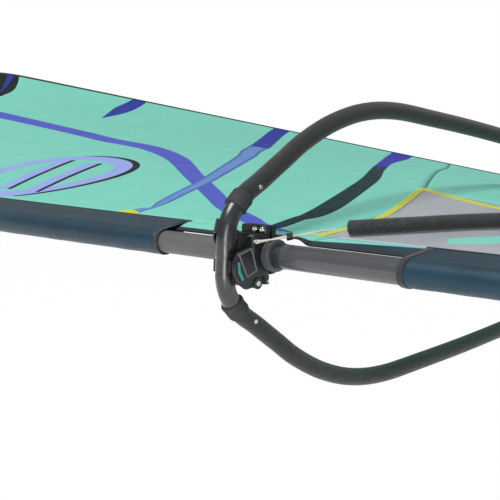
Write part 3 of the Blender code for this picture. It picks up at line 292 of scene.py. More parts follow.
# Glass-filled nylon, spark-eroded mould: fine grain and a semi-matt face.
NYLON = Finish("moulded_nylon", "nylon", "#121416", "#1e2022", 0.40, Pattern.GRAIN, 0.0010,
               0.00010, mottle=0.4, thread=0.2, on_object=True)
SADDLE_GLOSS = Finish("polished_nylon", "nylon", "#1c1d1f", "#242528", 0.30, Pattern.GRAIN, 0.0012,
                      0.00003, mottle=0.3, thread=0.1, coat=0.5, on_object=True)
NYLON_GREY = Finish("moulded_nylon_grey", "nylon", "#5d6266", "#4c5054", 0.45, Pattern.GRAIN,
                    0.0010, 0.00008, on_object=True)
RUBBER = Finish("moulded_rubber", "rubber", "#303133", "#242527", 0.72, Pattern.GRAIN, 0.0015,
                0.00010, mottle=0.6, on_object=True)
RUBBER_GREY = Finish("moulded_rubber_grey", "rubber", "#525356", "#434447", 0.62, Pattern.GRAIN, 0.0015,
                     0.00008, mottle=0.6, on_object=True)
STEEL = Finish("brushed_stainless", "steel", "#c9cbcc", "#a9acae", 0.24, Pattern.BRUSHED, 0.0010,
               0.00002, mottle=0.3, thread=0.2, metallic=1.0, on_object=True)
ALLOY = Finish("anodised_aluminium", "alloy", "#a8abae", "#8e9194", 0.36, Pattern.BRUSHED, 0.0010,
               0.00002, mottle=0.3, thread=0.2, metallic=1.0, on_object=True)
ROPE_BLACK = Finish("braided_polyester_black", "rope", "#17181a", "#2a2c2f", 0.78, Pattern.BRAID,
                    0.0030, 0.00030, mottle=0.3, thread=0.5, sheen=0.3)
LINE_PALE = Finish("braided_dyneema", "line", "#d8d8d0", "#8f9290", 0.62, Pattern.BRAID, 0.0016,
                   0.00020, mottle=0.3, thread=0.25)
LINE_OBJECT = Finish("braided_line", "line", "#cfcfc8", "#8f9290", 0.62, Pattern.WEAVE, 0.0020,
                     0.00020, thread=0.3, on_object=True)
ACCENT = Finish("moulded_teal", "accent", "#1f8f8b", "#187572", 0.38, Pattern.GRAIN, 0.0010,
                0.00005, on_object=True)


# ---------------------------------------------------------------- shapes
def smooth_path(points: Sequence[Sequence[float]], per_span: int) -> np.ndarray:
    """A smooth curve through knots.

    Each span is a cubic whose slope at a knot is half the way between that knot's neighbours.

    Args:
        points: the knots, of any number of values each.
        per_span: steps between two knots.

    Returns:
        One row for each point of the curve.
    """
    knots = np.asarray(points, float)
    spans = len(knots) - 1
    padded = np.vstack([2 * knots[0] - knots[1], knots, 2 * knots[-1] - knots[-2]])
    before, start, end, after = (padded[place:place + spans, None, :] for place in range(4))
    t = np.linspace(0, 1, per_span, endpoint=False)[None, :, None]
    path = 0.5 * (2 * start + (end - before) * t + (2 * before - 5 * start + 4 * end - after) * t ** 2
                  + (3 * start - before - 3 * end + after) * t ** 3)
    return np.vstack([path.reshape(-1, knots.shape[1]), knots[-1]])


def travelled(path: np.ndarray) -> np.ndarray:
    """The distance along a path to each of its points."""
    return np.concatenate([[0.0], np.cumsum(np.linalg.norm(np.diff(path, axis=0), axis=1))])


def length_of(path: np.ndarray) -> float:
    """The whole length of a path."""
    return float(travelled(path)[-1])


def full_turn(count: int) -> np.ndarray:
    """Angles spread evenly round a circle."""
    return np.linspace(0, 2 * math.pi, count, endpoint=False)


def read_off(places: np.ndarray, marks: np.ndarray, rows: np.ndarray) -> np.ndarray:
    """Rows that lie at rising marks, read off at any places between the marks."""
    return np.stack([np.interp(places, marks, rows[:, axis]) for axis in range(rows.shape[1])], -1)


def subdivided(rows: np.ndarray, counts: np.ndarray) -> np.ndarray:
    """Rows with each span between two neighbours cut into its own count of equal steps."""
    places = np.concatenate([[0.0], *(place + np.arange(1, count + 1) / count
                                      for place, count in enumerate(counts))])
    return read_off(places, np.arange(len(rows)), rows)


def resampled(path: np.ndarray, count: int) -> np.ndarray:
    """Points spread evenly along a path."""
    far = travelled(path)
    return read_off(np.linspace(0, far[-1], count), far, path)


def kept_corners(points: Sequence[Sequence[float]], count: int) -> np.ndarray:
    """Points along a polyline, with each of its corners kept.

    Args:
        points: the corners.
        count: how many spans to share out by length.

    Returns:
        count + 1 points.
    """
    knots = np.asarray(points, float)
    lengths = np.linalg.norm(np.diff(knots, axis=0), axis=1)
    shares = 1 + np.round((count - len(lengths)) * lengths / lengths.sum()).astype(int)
    shares[np.argmax(lengths)] += count - shares.sum()
    return subdivided(knots, shares)


def unit(rows: np.ndarray) -> np.ndarray:
    """Rows scaled to length one."""
    return rows / np.linalg.norm(rows, axis=-1, keepdims=True)


def around_path(path: np.ndarray, distance: np.ndarray, angle: np.ndarray, radius: np.ndarray,
                side: np.ndarray) -> np.ndarray:
    """Points round a path.

    point = path(distance) + radius * (cos(angle) * first + sin(angle) * second), where first is
    side made square to the path and second is square to both.

    Args:
        path: the centreline.
        distance: distance along it.
        angle: turn round it.
        radius: distance from it; the three arrays share one shape when broadcast.
        side: the direction of angle zero.

    Returns:
        The points, with three values in the last axis.
    """
    distance, angle, radius = np.broadcast_arrays(distance, angle, radius)
    far = travelled(path)
    ways = unit(np.gradient(path, far, axis=0))
    firsts = unit(side - (ways @ side)[:, None] * ways)
    seconds = np.cross(ways, firsts)
    middle, first, second = (read_off(distance, far, rows) for rows in (path, firsts, seconds))
    return middle + radius[..., None] * (np.cos(angle)[..., None] * first + np.sin(angle)[..., None] * second)


def placed(name: str, data: Any) -> bpy.types.Object:
    """A new object over a mesh, a light or a camera, linked into the scene."""
    piece = bpy.data.objects.new(name, data)
    bpy.context.scene.collection.objects.link(piece)
    return piece


def shaded(mesh: bpy.types.Mesh) -> None:
    """Shade a mesh smooth and keep its sharp corners."""
    mesh.shade_smooth()
    mesh.set_sharp_from_angle(angle=SHARP_CORNER)


def surface(name: str, points: np.ndarray, around: bool = False, capped: bool = False,
            ring: bool = False, uv: Optional[np.ndarray] = None) -> bpy.types.Object:
    """A mesh over a grid of points.

    Its UV map is the mean distance along the rows and along the columns, in metres.

    Args:
        name: the piece's name.
        points: rows by columns by three.
        around: join the last column to the first.
        capped: close the first and last row with a face each.
        ring: join the last row to the first.
        uv: rows by columns by two, where the map isn't those distances.

    Returns:
        The new object.
    """
    rows, columns = points.shape[:2]
    index = np.arange(rows * columns).reshape(rows, columns)
    wide = np.hstack([index, index[:, :1]]) if around else index
    wide = np.vstack([wide, wide[:1]]) if ring else wide
    faces = np.stack([wide[:-1, :-1], wide[:-1, 1:], wide[1:, 1:], wide[1:, :-1]], -1).reshape(-1, 4)
    everything = faces.tolist()
    if capped:
        everything += [index[0, ::-1].tolist(), index[-1].tolist()]
    mesh = bpy.data.meshes.new(name)
    mesh.from_pydata(points.reshape(-1, 3).tolist(), [], everything)
    if uv is None:
        closed = np.concatenate([points, points[:, :1]], 1) if around else points
        closed = np.concatenate([closed, closed[:1]], 0) if ring else closed
        along = travelled(closed.mean(axis=1))
        steps = np.linalg.norm(np.diff(closed, axis=1), axis=2).mean(axis=0)
        across = np.concatenate([[0.0], np.cumsum(steps)])
        uv = np.stack(np.meshgrid(along, across, indexing="ij"), -1)
    corners = np.stack([uv[:-1, :-1], uv[:-1, 1:], uv[1:, 1:], uv[1:, :-1]], 2).reshape(-1, 2)
    spare = sum(len(face) for face in everything[len(faces):])
    layer = mesh.uv_layers.new(name="metres")
    layer.data.foreach_set("uv", np.vstack([corners, np.zeros((spare, 2))]).ravel())
    work = bmesh.new()
    work.from_mesh(mesh)
    bmesh.ops.recalc_face_normals(work, faces=work.faces)
    work.to_mesh(mesh)
    work.free()
    shaded(mesh)
    return placed(name, mesh)


def turned(name: str, path: np.ndarray, profile: Sequence[tuple[float, float]], sides: int = 32,
           side: np.ndarray = X_WAY, step: float = 0.0, ring: bool = False) -> bpy.types.Object:
    """A profile turned round a path.

    Args:
        name: the piece's name.
        path: the centreline.
        profile: distance along the path and radius, in order over the outside.
        sides: points round the path.
        side: the direction of angle zero.
        step: longest stretch of profile between two points, or 0 to leave it as it is.
        ring: the profile closes on itself, as round a pipe's wall.

    Returns:
        The new object.
    """
    rows = np.asarray(profile, float)
    if ring and step:
        rows = np.vstack([rows, rows[:1]])
    if step:
        rows = subdivided(rows, np.maximum(1, np.ceil(np.abs(np.diff(rows[:, 0])) / step).astype(int)))
    if ring and step:
        rows = rows[:-1]
    angle = full_turn(sides)[None, :]
    points = around_path(path, rows[:, :1], angle, rows[:, 1:], side)
    return surface(name, points, around=True, capped=not ring, ring=ring)


def blunt_ends(length: float, radius: float, curve: float) -> list[tuple[float, float]]:
    """Profile of a rod whose two ends are rounded by a quarter circle, from its start to its end."""
    turns = np.linspace(0, math.pi / 2, 7)
    rise = [(curve * (1 - math.cos(turn)), radius - curve * (1 - math.sin(turn))) for turn in turns]
    return rise + [(length - far, size) for far, size in rise[::-1]]


def bevelled(piece: bpy.types.Object, width: float) -> None:
    """Round a piece's edges with a Bevel of a few tenths of a millimetre."""
    tool = piece.modifiers.new("rounded_edges", "BEVEL")
    tool.width = width
    tool.segments = 2
    tool.limit_method = "ANGLE"
    tool.angle_limit = ROUNDED_CORNER


def walled(piece: bpy.types.Object, thickness: float, offset: float = 0.0) -> None:
    """Give a sheet its thickness; offset -1 keeps it inside the surface, 0 puts it either side."""
    tool = piece.modifiers.new("wall", "SOLIDIFY")
    tool.thickness = thickness
    tool.offset = offset


def dressed(piece: bpy.types.Object, finish: Finish, body: str, *nodes: str) -> bpy.types.Object:
    """Give a piece its material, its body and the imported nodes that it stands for.

    Args:
        piece: the new piece.
        finish: its material.
        body: the body it rides on.
        nodes: the nodes that it replaces.

    Returns:
        The same piece.
    """
    piece.data.materials.clear()
    piece.data.materials.append(finish.material())
    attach(piece, body)
    if nodes:
        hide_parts(*nodes)
    LOG.info("%s in %s on %s", piece.name, finish.name, body)
    return piece


def recast(node: str, finish: Finish, edge: float = 0.0) -> bpy.types.Object:
    """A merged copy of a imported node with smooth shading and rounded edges.

    Args:
        node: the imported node.
        finish: its material.
        edge: width of the rounding in metres, or 0 for none.

    Returns:
        The copy, which stands for the node.
    """
    work = bmesh.new()
    work.from_mesh(bpy.data.objects[node].data)
    bmesh.ops.remove_doubles(work, verts=work.verts, dist=SAME_PLACE)
    bmesh.ops.dissolve_limit(work, angle_limit=FLAT_ANGLE, verts=work.verts, edges=work.edges)
    mesh = bpy.data.meshes.new(f"{node}_finished")
    work.to_mesh(mesh)
    work.free()
    shaded(mesh)
    piece = placed(f"{node}_finished", mesh)
    if edge:
        bevelled(piece, edge)
    return dressed(piece, finish, BODY_OF[node], node)


# ---------------------------------------------------------------- sail plan
@dataclass(frozen=True)
class SailPlan:
    """Where the sail's surface lies: the luff curve, the leech, the camber and the twist."""

    boom_x: float = BOOM_X
    head_x: float = -4.425
    tack_x: float = -0.260
    seam_x: float = -3.700
    bend_start: float = -1.700
    bend: float = 0.240
    mast_radius: float = 0.01875
    joint_x: float = -2.300
    tip_radius: float = 0.0080
    mast_top: float = -4.445
    clew_y: float = 1.845
    head_chord: float = 0.170
    sleeve_depth: float = 0.052
    draft: float = 0.048
    fall: float = 1.4
    leech_rise: float = 0.182
    fade_x: float = -3.300
    head_twist: float = 0.18
    cutout_top: float = -1.607
    cutout_low: float = -1.123

    def luff(self, x: np.ndarray) -> np.ndarray:
        """The bent mast's axis: nothing below the bend, then the square of the way to the tip."""
        share = np.maximum(0.0, (self.bend_start - x) / (self.bend_start - self.mast_top))
        return self.bend * share ** 2

    def mast(self, x: np.ndarray) -> np.ndarray:
        """The mast's radius: even up to the joint, then a straight taper to the tip."""
        share = np.maximum(0.0, (self.joint_x - x) / (self.joint_x - self.mast_top))
        return self.mast_radius - (self.mast_radius - self.tip_radius) * share

    def leech(self, x: np.ndarray) -> np.ndarray:
        """The leech and the foot: two straight lines that meet at the clew."""
        head = self.luff(np.float64(self.head_x)) + self.head_chord
        above = self.clew_y + (head - self.clew_y) * (self.boom_x - x) / (self.boom_x - self.head_x)
        below = self.clew_y + (0.05 - self.clew_y) * (x - self.boom_x) / (self.tack_x - self.boom_x)
        return np.where(x <= self.boom_x, above, below)

    def leech_height(self, x: np.ndarray) -> np.ndarray:
        """The leech's twist: it rises evenly above the boom, then eases back near the head."""
        height = np.maximum(0.0, self.boom_x - x)
        ease = np.clip((self.fade_x - x) / (self.fade_x - self.head_x), 0, 1)
        ease = ease ** 2 * (3 - 2 * ease)
        return self.leech_rise * height * (1 - (1 - self.head_twist) * ease)

    def height(self, x: np.ndarray, y: np.ndarray) -> np.ndarray:
        """The sail's surface over the mast plane.

        A straight fall from the mast's side, plus a camber that grows with the chord and is
        deepest a little behind the mast, plus the leech's twist by the share of the chord.

        Args:
            x: distance along the mast.
            y: distance from it.

        Returns:
            The surface's z.
        """
        luff = self.luff(x)
        chord = np.maximum(self.leech(x) - luff, self.sleeve_depth)
        share = np.clip((y - luff) / chord, 0, 1)
        peak = (1 / (1 + self.fall)) * (self.fall / (1 + self.fall)) ** self.fall
        camber = self.draft * chord * share * (1 - share) ** self.fall / peak
        return self.mast(x) * (1 - share) + camber + self.leech_height(x) * share

    def on_surface(self, flat: np.ndarray, lift: float = 0.0) -> np.ndarray:
        """Points of (x, y) laid on the sail, lift above its middle surface."""
        return np.concatenate([flat, self.height(flat[..., 0], flat[..., 1])[..., None] + lift], -1)


PLAN = SailPlan()


@dataclass(frozen=True)
class Stripe:
    """A strip of coloured cloth let into the sail: knots of x from the boom, y and width."""

    name: str
    knots: tuple[tuple[float, float, float], ...]
    finish: Finish
    layer: int
    across: int = 5


STRIPES = (
    Stripe("indigo_band", (
        (-2.50, 0.500, 0.004), (-2.10, 0.590, 0.040), (-1.85, 0.620, 0.050), (-1.60, 0.633, 0.052),
        (-1.40, 0.631, 0.052), (-1.20, 0.613, 0.052), (-1.05, 0.588, 0.052), (-0.95, 0.580, 0.052),
        (-0.85, 0.558, 0.052), (-0.695, 0.483, 0.048), (-0.50, 0.345, 0.040), (-0.32, 0.222, 0.036),
        (-0.215, 0.150, 0.032), (-0.105, 0.095, 0.030), (-0.060, 0.070, 0.028), (0.02, 0.045, 0.024)),
        CLOTH_INDIGO, 0),
    Stripe("blue_stripe_edge", (
        (-0.372, 0.048, 0.028), (-0.362, 0.080, 0.026), (-0.352, 0.098, 0.010), (-0.362, 0.135, 0.026),
        (-0.388, 0.205, 0.030), (-0.43, 0.31, 0.034), (-0.52, 0.47, 0.038), (-0.63, 0.64, 0.044),
        (-0.70, 0.73, 0.048), (-0.80, 0.875, 0.052)), CLOTH_TEAL_EDGE, 1),
    Stripe("blue_stripe", (
        (-0.372, 0.048, 0.018), (-0.362, 0.080, 0.016), (-0.352, 0.098, 0.004), (-0.362, 0.135, 0.015),
        (-0.388, 0.205, 0.018), (-0.43, 0.31, 0.021), (-0.52, 0.47, 0.025), (-0.63, 0.64, 0.030),
        (-0.70, 0.73, 0.034), (-0.80, 0.875, 0.038)), CLOTH_BLUE, 2),
    Stripe("navy_stripe", (
        (-0.78, 0.846, 0.046), (-0.80, 0.875, 0.050), (-0.95, 1.07, 0.048), (-1.06, 1.22, 0.048),
        (-1.115, 1.31, 0.048), (-1.15, 1.36, 0.048)), CLOTH_NAVY, 3),
    Stripe("dark_stripe", (
        (-0.041, 0.048, 0.014), (-0.030, 0.080, 0.030), (-0.031, 0.130, 0.030), (-0.027, 0.165, 0.042),
        (-0.048, 0.237, 0.045), (-0.108, 0.373, 0.040), (-0.19, 0.53, 0.036), (-0.30, 0.70, 0.030),
        (-0.365, 0.80, 0.030)), CLOTH_DARK, 2),
    Stripe("violet_stripe", (
        (-0.345, 0.77, 0.030), (-0.45, 0.93, 0.030), (-0.60, 1.16, 0.040), (-0.70, 1.32, 0.052),
        (-0.785, 1.472, 0.060), (-0.82, 1.53, 0.060)), CLOTH_VIOLET, 1),
    Stripe("navy_wedge", (
        (-1.379, 0.832, 0.003), (-1.43, 0.925, 0.040), (-1.474, 0.998, 0.056), (-1.528, 1.10, 0.048),
        (-1.56, 1.16, 0.046)), CLOTH_NAVY, 0),
    Stripe("corner_stripe_dark", (
        (-1.79, 0.769, 0.006), (-1.85, 0.83, 0.060), (-1.98, 0.93, 0.075), (-2.15, 1.04, 0.060)),
        CLOTH_INK, 0),
    Stripe("corner_stripe_blue", (
        (-1.83, 0.80, 0.004), (-1.92, 0.895, 0.020), (-2.00, 0.955, 0.026), (-2.12, 1.03, 0.020)),
        CLOTH_NAVY, 1),
    Stripe("green_seam", ((-0.030, 0.487, 0.005), (-0.240, 0.836, 0.005), (-0.450, 1.184, 0.005),
                          (-0.680, 1.567, 0.005)), CLOTH_SEAM, 0),
    Stripe("window_tape_front", (
        (0.070, 0.043, 0.013), (0.082, 0.073, 0.013), (0.090, 0.116, 0.013), (0.090, 0.190, 0.013),
        (0.052, 0.299, 0.013), (-0.033, 0.483, 0.013)), TAPE_YELLOW, 4),
    Stripe("window_tape_rear", (
        (-0.033, 0.483, 0.014), (0.096, 0.411, 0.014), (0.207, 0.358, 0.014), (0.400, 0.281, 0.014),
        (0.620, 0.200, 0.014)), TAPE_YELLOW, 5),
    Stripe("window_tape_low", ((0.620, 0.242, 0.014), (0.620, 0.150, 0.014), (0.620, 0.048, 0.014)),
           TAPE_YELLOW, 3),
    Stripe("window_mint_strip", (
        (0.280, 0.096, 0.028), (0.300, 0.106, 0.036), (0.330, 0.122, 0.042), (0.360, 0.142, 0.046),
        (0.420, 0.185, 0.046), (0.500, 0.225, 0.030)), SAIL_MINT, 1),
    Stripe("yellow_patch", ((-0.400, 0.060, 0.008), (-0.375, 0.066, 0.016), (-0.345, 0.060, 0.006)),
           TAPE_YELLOW, 4),
)


@dataclass
class Sail:
    """The sail's panels, its stripes, tapes and emblem, and the clew."""

    plan: SailPlan = PLAN
    thickness: float = 0.0010
    gap: float = 0.0003
    layer_step: float = 0.00012
    emblem_x: float = -0.830
    emblem_y: float = 0.236
    emblem_radius: float = 0.156
    emblem_width: float = 0.040

    def corner(self, x: float, y: float) -> tuple[float, float]:
        """A point of the plan, with x measured from the boom."""
        return (self.plan.boom_x + x, y)

    def luff_edge(self, start: float, end: float) -> np.ndarray:
        """Points on the sleeve's rear seam between two places along the mast."""
        x = np.linspace(start, end, 40)
        return np.stack([x, self.plan.luff(x) + self.plan.sleeve_depth], 1)

    def leech_edge(self, start: float, end: float) -> np.ndarray:
        """Points on the leech between two places along the mast."""
        x = np.linspace(start, end, 40)
        return np.stack([x, self.plan.leech(x)], 1)

    def panel(self, node: str, front: np.ndarray, rear: np.ndarray, rows: int, columns: int,
              finish: Finish) -> bpy.types.Object:
        """A panel ruled from its front edge to its rear edge and laid on the sail's surface.

        point = front + (rear - front) * share.

        Args:
            node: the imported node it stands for.
            front: corners of the front edge, as (x, y).
            rear: corners of the rear edge.
            rows: spans along the edges.
            columns: spans between them.
            finish: its cloth.

        Returns:
            The panel.
        """
        starts = kept_corners(front, rows)[:, None, :]
        ends = kept_corners(rear, rows)[:, None, :]
        inset = self.gap / np.linalg.norm(ends - starts, axis=2, keepdims=True)
        share = inset + (1 - 2 * inset) * np.linspace(0, 1, columns + 1)[None, :, None]
        flat = starts + (ends - starts) * share
        piece = surface(f"cloth_{node}", self.plan.on_surface(flat), uv=flat)
        walled(piece, self.thickness)
        dressed(piece, finish, "rig", node)
        return self.declared(piece, flat)

    def declared(self, piece: bpy.types.Object, flat: np.ndarray) -> bpy.types.Object:
        """Work out the two sides of the smallest rectangle round a stretched panel's cut, which nothing uses.

        Args:
            piece: the panel.
            flat: its grid of (x, y) points.

        Returns:
            The panel.
        """
        turn = np.radians(np.arange(0, 90, 1.0))
        turned_points = flat.reshape(-1, 2) @ np.stack([[np.cos(turn), -np.sin(turn)],
                                                        [np.sin(turn), np.cos(turn)]]).transpose(2, 0, 1)
        sides = np.ptp(turned_points, axis=1)
        width, length = sorted(sides[np.argmin(sides.prod(axis=1))])
        return piece

    def upper_panel(self) -> bpy.types.Object:
        """The big panel from the head's seam to the window, with its front edge on the luff curve.

        Each column runs straight from the head's seam to the window's ridge, with its points
        gathered a little towards the window.  The front columns are drawn to the luff curve by the
        cube of their distance from the rear.
        """
        seam = self.plan.seam_x
        columns, rows, gather = 90, 110, 0.85
        crest = kept_corners([(seam, float(self.plan.luff(np.float64(seam))) + self.plan.sleeve_depth),
                              (seam, float(self.plan.leech(np.float64(seam))))], columns)[None]
        ridge = kept_corners([self.corner(0.085, 0.052), self.corner(0.080, 0.250),
                              self.corner(-0.020, 0.470), self.window_seam()], columns)[None]
        inset = self.gap / np.linalg.norm(ridge - crest, axis=2, keepdims=True)
        share = inset + (1 - 2 * inset) * np.linspace(0, 1, rows + 1)[:, None, None] ** gather
        flat = crest + (ridge - crest) * share
        off = self.plan.luff(flat[:, 0, 0]) + self.plan.sleeve_depth + self.gap - flat[:, 0, 1]
        flat[..., 1] += off[:, None] * (1 - np.linspace(0, 1, columns + 1)[None, :]) ** 3
        piece = surface("cloth_upper_panel", self.plan.on_surface(flat), uv=flat)
        walled(piece, self.thickness)
        dressed(piece, SAIL_MINT, "rig", "upper_panel")
        return self.declared(piece, flat)

    def window_seam(self) -> tuple[float, float]:
        """Where the seam above the window meets the leech."""
        x = self.plan.boom_x - 0.659
        return (x, float(self.plan.leech(np.float64(x))))

    def panels(self) -> None:
        """The five panels, edge to edge."""
        plan = self.plan
        self.panel("head_panel", self.luff_edge(plan.head_x, plan.seam_x),
                   self.leech_edge(plan.head_x, plan.seam_x), 40, 24, SAIL_MINT)
        self.upper_panel()
        window = [self.corner(0.085, 0.052), self.corner(0.080, 0.250), self.corner(-0.020, 0.470)]
        rear, low = self.corner(0.620, 0.235), self.corner(0.620, 0.052)
        leech_x, foot_x = plan.boom_x - 0.045, plan.boom_x + 0.045
        on_leech = (leech_x, float(plan.leech(np.float64(leech_x))))
        on_foot = (foot_x, float(plan.leech(np.float64(foot_x))))
        root = self.corner(0.0, plan.clew_y - 0.110)
        self.panel("clew_panel", [window[2], rear], [self.window_seam(), on_leech, root], 48, 70, SAIL_MINT)
        self.panel("foot_panel", [low, (plan.tack_x, plan.sleeve_depth)], [rear, root, on_foot],
                   48, 70, SAIL_MINT)
        self.panel("window_panel", window, [low, (low[0], 0.15), rear], 40, 40, WINDOW_FILM)

    def trimmed(self, edge: np.ndarray, count: int) -> np.ndarray:
        """The part of a line that lies between the sleeve's seam and the leech.

        Args:
            edge: the line's points as (x, y).
            count: how many points to keep.

        Returns:
            Points spread evenly over the part that is kept.
        """
        fine = resampled(edge, 6000)
        low = self.plan.luff(fine[:, 0]) + self.plan.sleeve_depth + self.gap
        high = self.plan.leech(fine[:, 0]) - self.gap
        return resampled(fine[(fine[:, 1] >= low) & (fine[:, 1] <= high)], count)

    def slab(self, name: str, flat: np.ndarray, layer: int, finish: Finish,
             ring: bool = False) -> bpy.types.Object:
        """Cloth let into the sail: a thin closed slab with one face proud on either side.

        Args:
            name: the piece's name.
            flat: rows by columns of (x, y) points.
            layer: how many layers it stands proud.
            finish: its cloth.
            ring: the rows close on themselves.

        Returns:
            The piece.
        """
        proud = self.thickness / 2 + self.layer_step * (layer + 2)
        top = self.plan.on_surface(flat, proud)
        low = self.plan.on_surface(flat, -proud)
        points = np.concatenate([top, low[:, ::-1]], axis=1)
        piece = surface(name, points, around=True, capped=not ring, ring=ring)
        return dressed(piece, finish, "rig")

    def stripe(self, stripe: Stripe) -> bpy.types.Object:
        """A strip along its smooth centreline, half its width to either side, cut to the sail."""
        centre = smooth_path(stripe.knots, 14)
        centre[:, 0] += self.plan.boom_x
        way = unit(np.gradient(centre[:, :2], axis=0))
        across = np.stack([-way[:, 1], way[:, 0]], 1) * centre[:, 2:] / 2
        count = 24 * len(stripe.knots)
        left = self.trimmed(centre[:, :2] + across, count)[:, None]
        right = self.trimmed(centre[:, :2] - across, count)[:, None]
        share = np.linspace(0, 1, stripe.across)[None, :, None]
        return self.slab(stripe.name, left + (right - left) * share, stripe.layer, stripe.finish)

    def circle(self, size: np.ndarray, turn: np.ndarray) -> np.ndarray:
        """Points at a distance and a turn from the emblem's middle."""
        return np.stack([self.plan.boom_x + self.emblem_x + size * np.cos(turn),
                         self.emblem_y + size * np.sin(turn)], -1)

    def emblem(self) -> None:
        """A plain ring with a thin arc inside it and two slanted bars: circles and straight strips."""
        size = self.emblem_radius + np.linspace(-self.emblem_width / 2, self.emblem_width / 2, 5)[None, :]
        self.slab("emblem_ring", self.circle(size, full_turn(96)[:, None]), 1, CLOTH_PALE, ring=True)
        self.arc_shadow()
        for place, offset in enumerate((-0.052, 0.044)):
            foot = np.array([self.emblem_x + offset + 0.050, self.emblem_y - 0.122])
            head = np.array([self.emblem_x + offset - 0.034, self.emblem_y + 0.112])
            for word, aside, width, finish in (("bar", 0.0, 0.034, CLOTH_PALE),
                                               ("edge", 0.021, 0.011, CLOTH_INK)):
                knots = tuple((*(point + (aside, 0.0)), width) for point in (foot, (foot + head) / 2, head))
                self.stripe(Stripe(f"emblem_{word}_{place + 1}", knots, finish, 2))

    def arc_shadow(self) -> None:
        """A dark arc along the outside of the emblem's ring that narrows to a point at both ends."""
        turn = np.radians(np.linspace(-62, 118, 80))[:, None]
        width = 0.016 * np.sin(np.linspace(0.02, math.pi - 0.02, 80))[:, None] ** 0.5
        size = self.emblem_radius + self.emblem_width / 2 + width * np.linspace(0, 1, 4)[None, :]
        self.slab("emblem_arc", self.circle(size, turn), 2, CLOTH_INK)

    def edge_tapes(self) -> None:
        """A thin dark tape folded over the leech and the foot, and the dark seam at the sleeve.

        Each tape starts a little off its line and runs a signed width away from it.
        """
        plan = self.plan
        seam = plan.sleeve_depth - 0.001
        share = np.array([0.0, 0.5, 1.0])[None, :]
        for name, start, end, line, off, width in (
                ("leech_tape", plan.head_x + 0.004, plan.boom_x - 0.048, plan.leech, -0.0006, -0.011),
                ("foot_tape", plan.boom_x + 0.048, plan.tack_x - 0.02, plan.leech, -0.0006, -0.011),
                ("luff_seam_upper", plan.head_x + 0.004, plan.cutout_top + 0.004, plan.luff, seam, 0.0055),
                ("luff_seam_lower", plan.cutout_low - 0.004, plan.tack_x - 0.004, plan.luff, seam, 0.0055)):
            x = np.linspace(start, end, 160)
            y = line(x)[:, None] + off + width * share
            self.slab(name, np.stack([np.broadcast_to(x[:, None], y.shape), y], -1), 6, TAPE_BLACK)

    def cutout_strip(self) -> None:
        """The strip behind the mast that joins the two sleeves, cut back in a curve round the clamp.

        It has a dark binding along its front edge and a facing of sleeve cloth that widens downwards.
        """
        plan = self.plan
        x = np.linspace(plan.cutout_top + self.gap, plan.cutout_low - self.gap, 90)[:, None]
        clamp_middle, clamp_half, curve, cut_depth = plan.boom_x + 0.008, 0.045, 0.030, 0.0090
        near = np.clip((np.abs(x - clamp_middle) - clamp_half) / curve, 0, 1)
        front = plan.mast_radius + 0.0125 - cut_depth * near * near * (3 - 2 * near)

        def strip(share: np.ndarray, lift: float) -> np.ndarray:
            """Points across the strip from its front edge (0) to its rear (1), drawn down at the front."""
            y = front + (plan.sleeve_depth - self.gap - front) * share
            points = plan.on_surface(np.stack(np.broadcast_arrays(x, y), -1), lift)
            points[..., 2] -= 0.0052 * near * (1 - share) ** 2
            return points

        middle = strip(np.linspace(0, 1, 12), 0.0)
        piece = surface("cloth_cutout_strip", middle, uv=middle[..., :2])
        walled(piece, self.thickness)
        dressed(piece, SAIL_MINT, "rig", "cutout_strip")
        self.declared(piece, middle[..., :2])
        reach = np.clip((x - plan.boom_x - 0.050) / 0.220, 0, 1)
        widening = 0.22 + (0.03 + 0.62 * reach) * np.linspace(0, 1, 5)[None, :]
        for word, share, rise, finish in (("binding", np.linspace(-0.02, 0.24, 5), 0.0007, TAPE_BLACK),
                                          ("facing", widening, 0.0004, SLEEVE_SATIN)):
            proud = self.thickness / 2 + rise
            band = np.concatenate([strip(share, proud), strip(share, -proud)[:, ::-1]], axis=1)
            dressed(surface(f"cutout_strip_{word}", band, around=True, capped=True), finish, "rig")

    def build(self) -> None:
        """Make the whole sail."""
        self.panels()
        for stripe in STRIPES:
            self.stripe(stripe)
        self.emblem()
        self.edge_tapes()
        self.cutout_strip()
        recast("clew_patch", BINDING)
        recast("clew_ring", STEEL, 0.0006)
        recast("head_strap", BINDING)


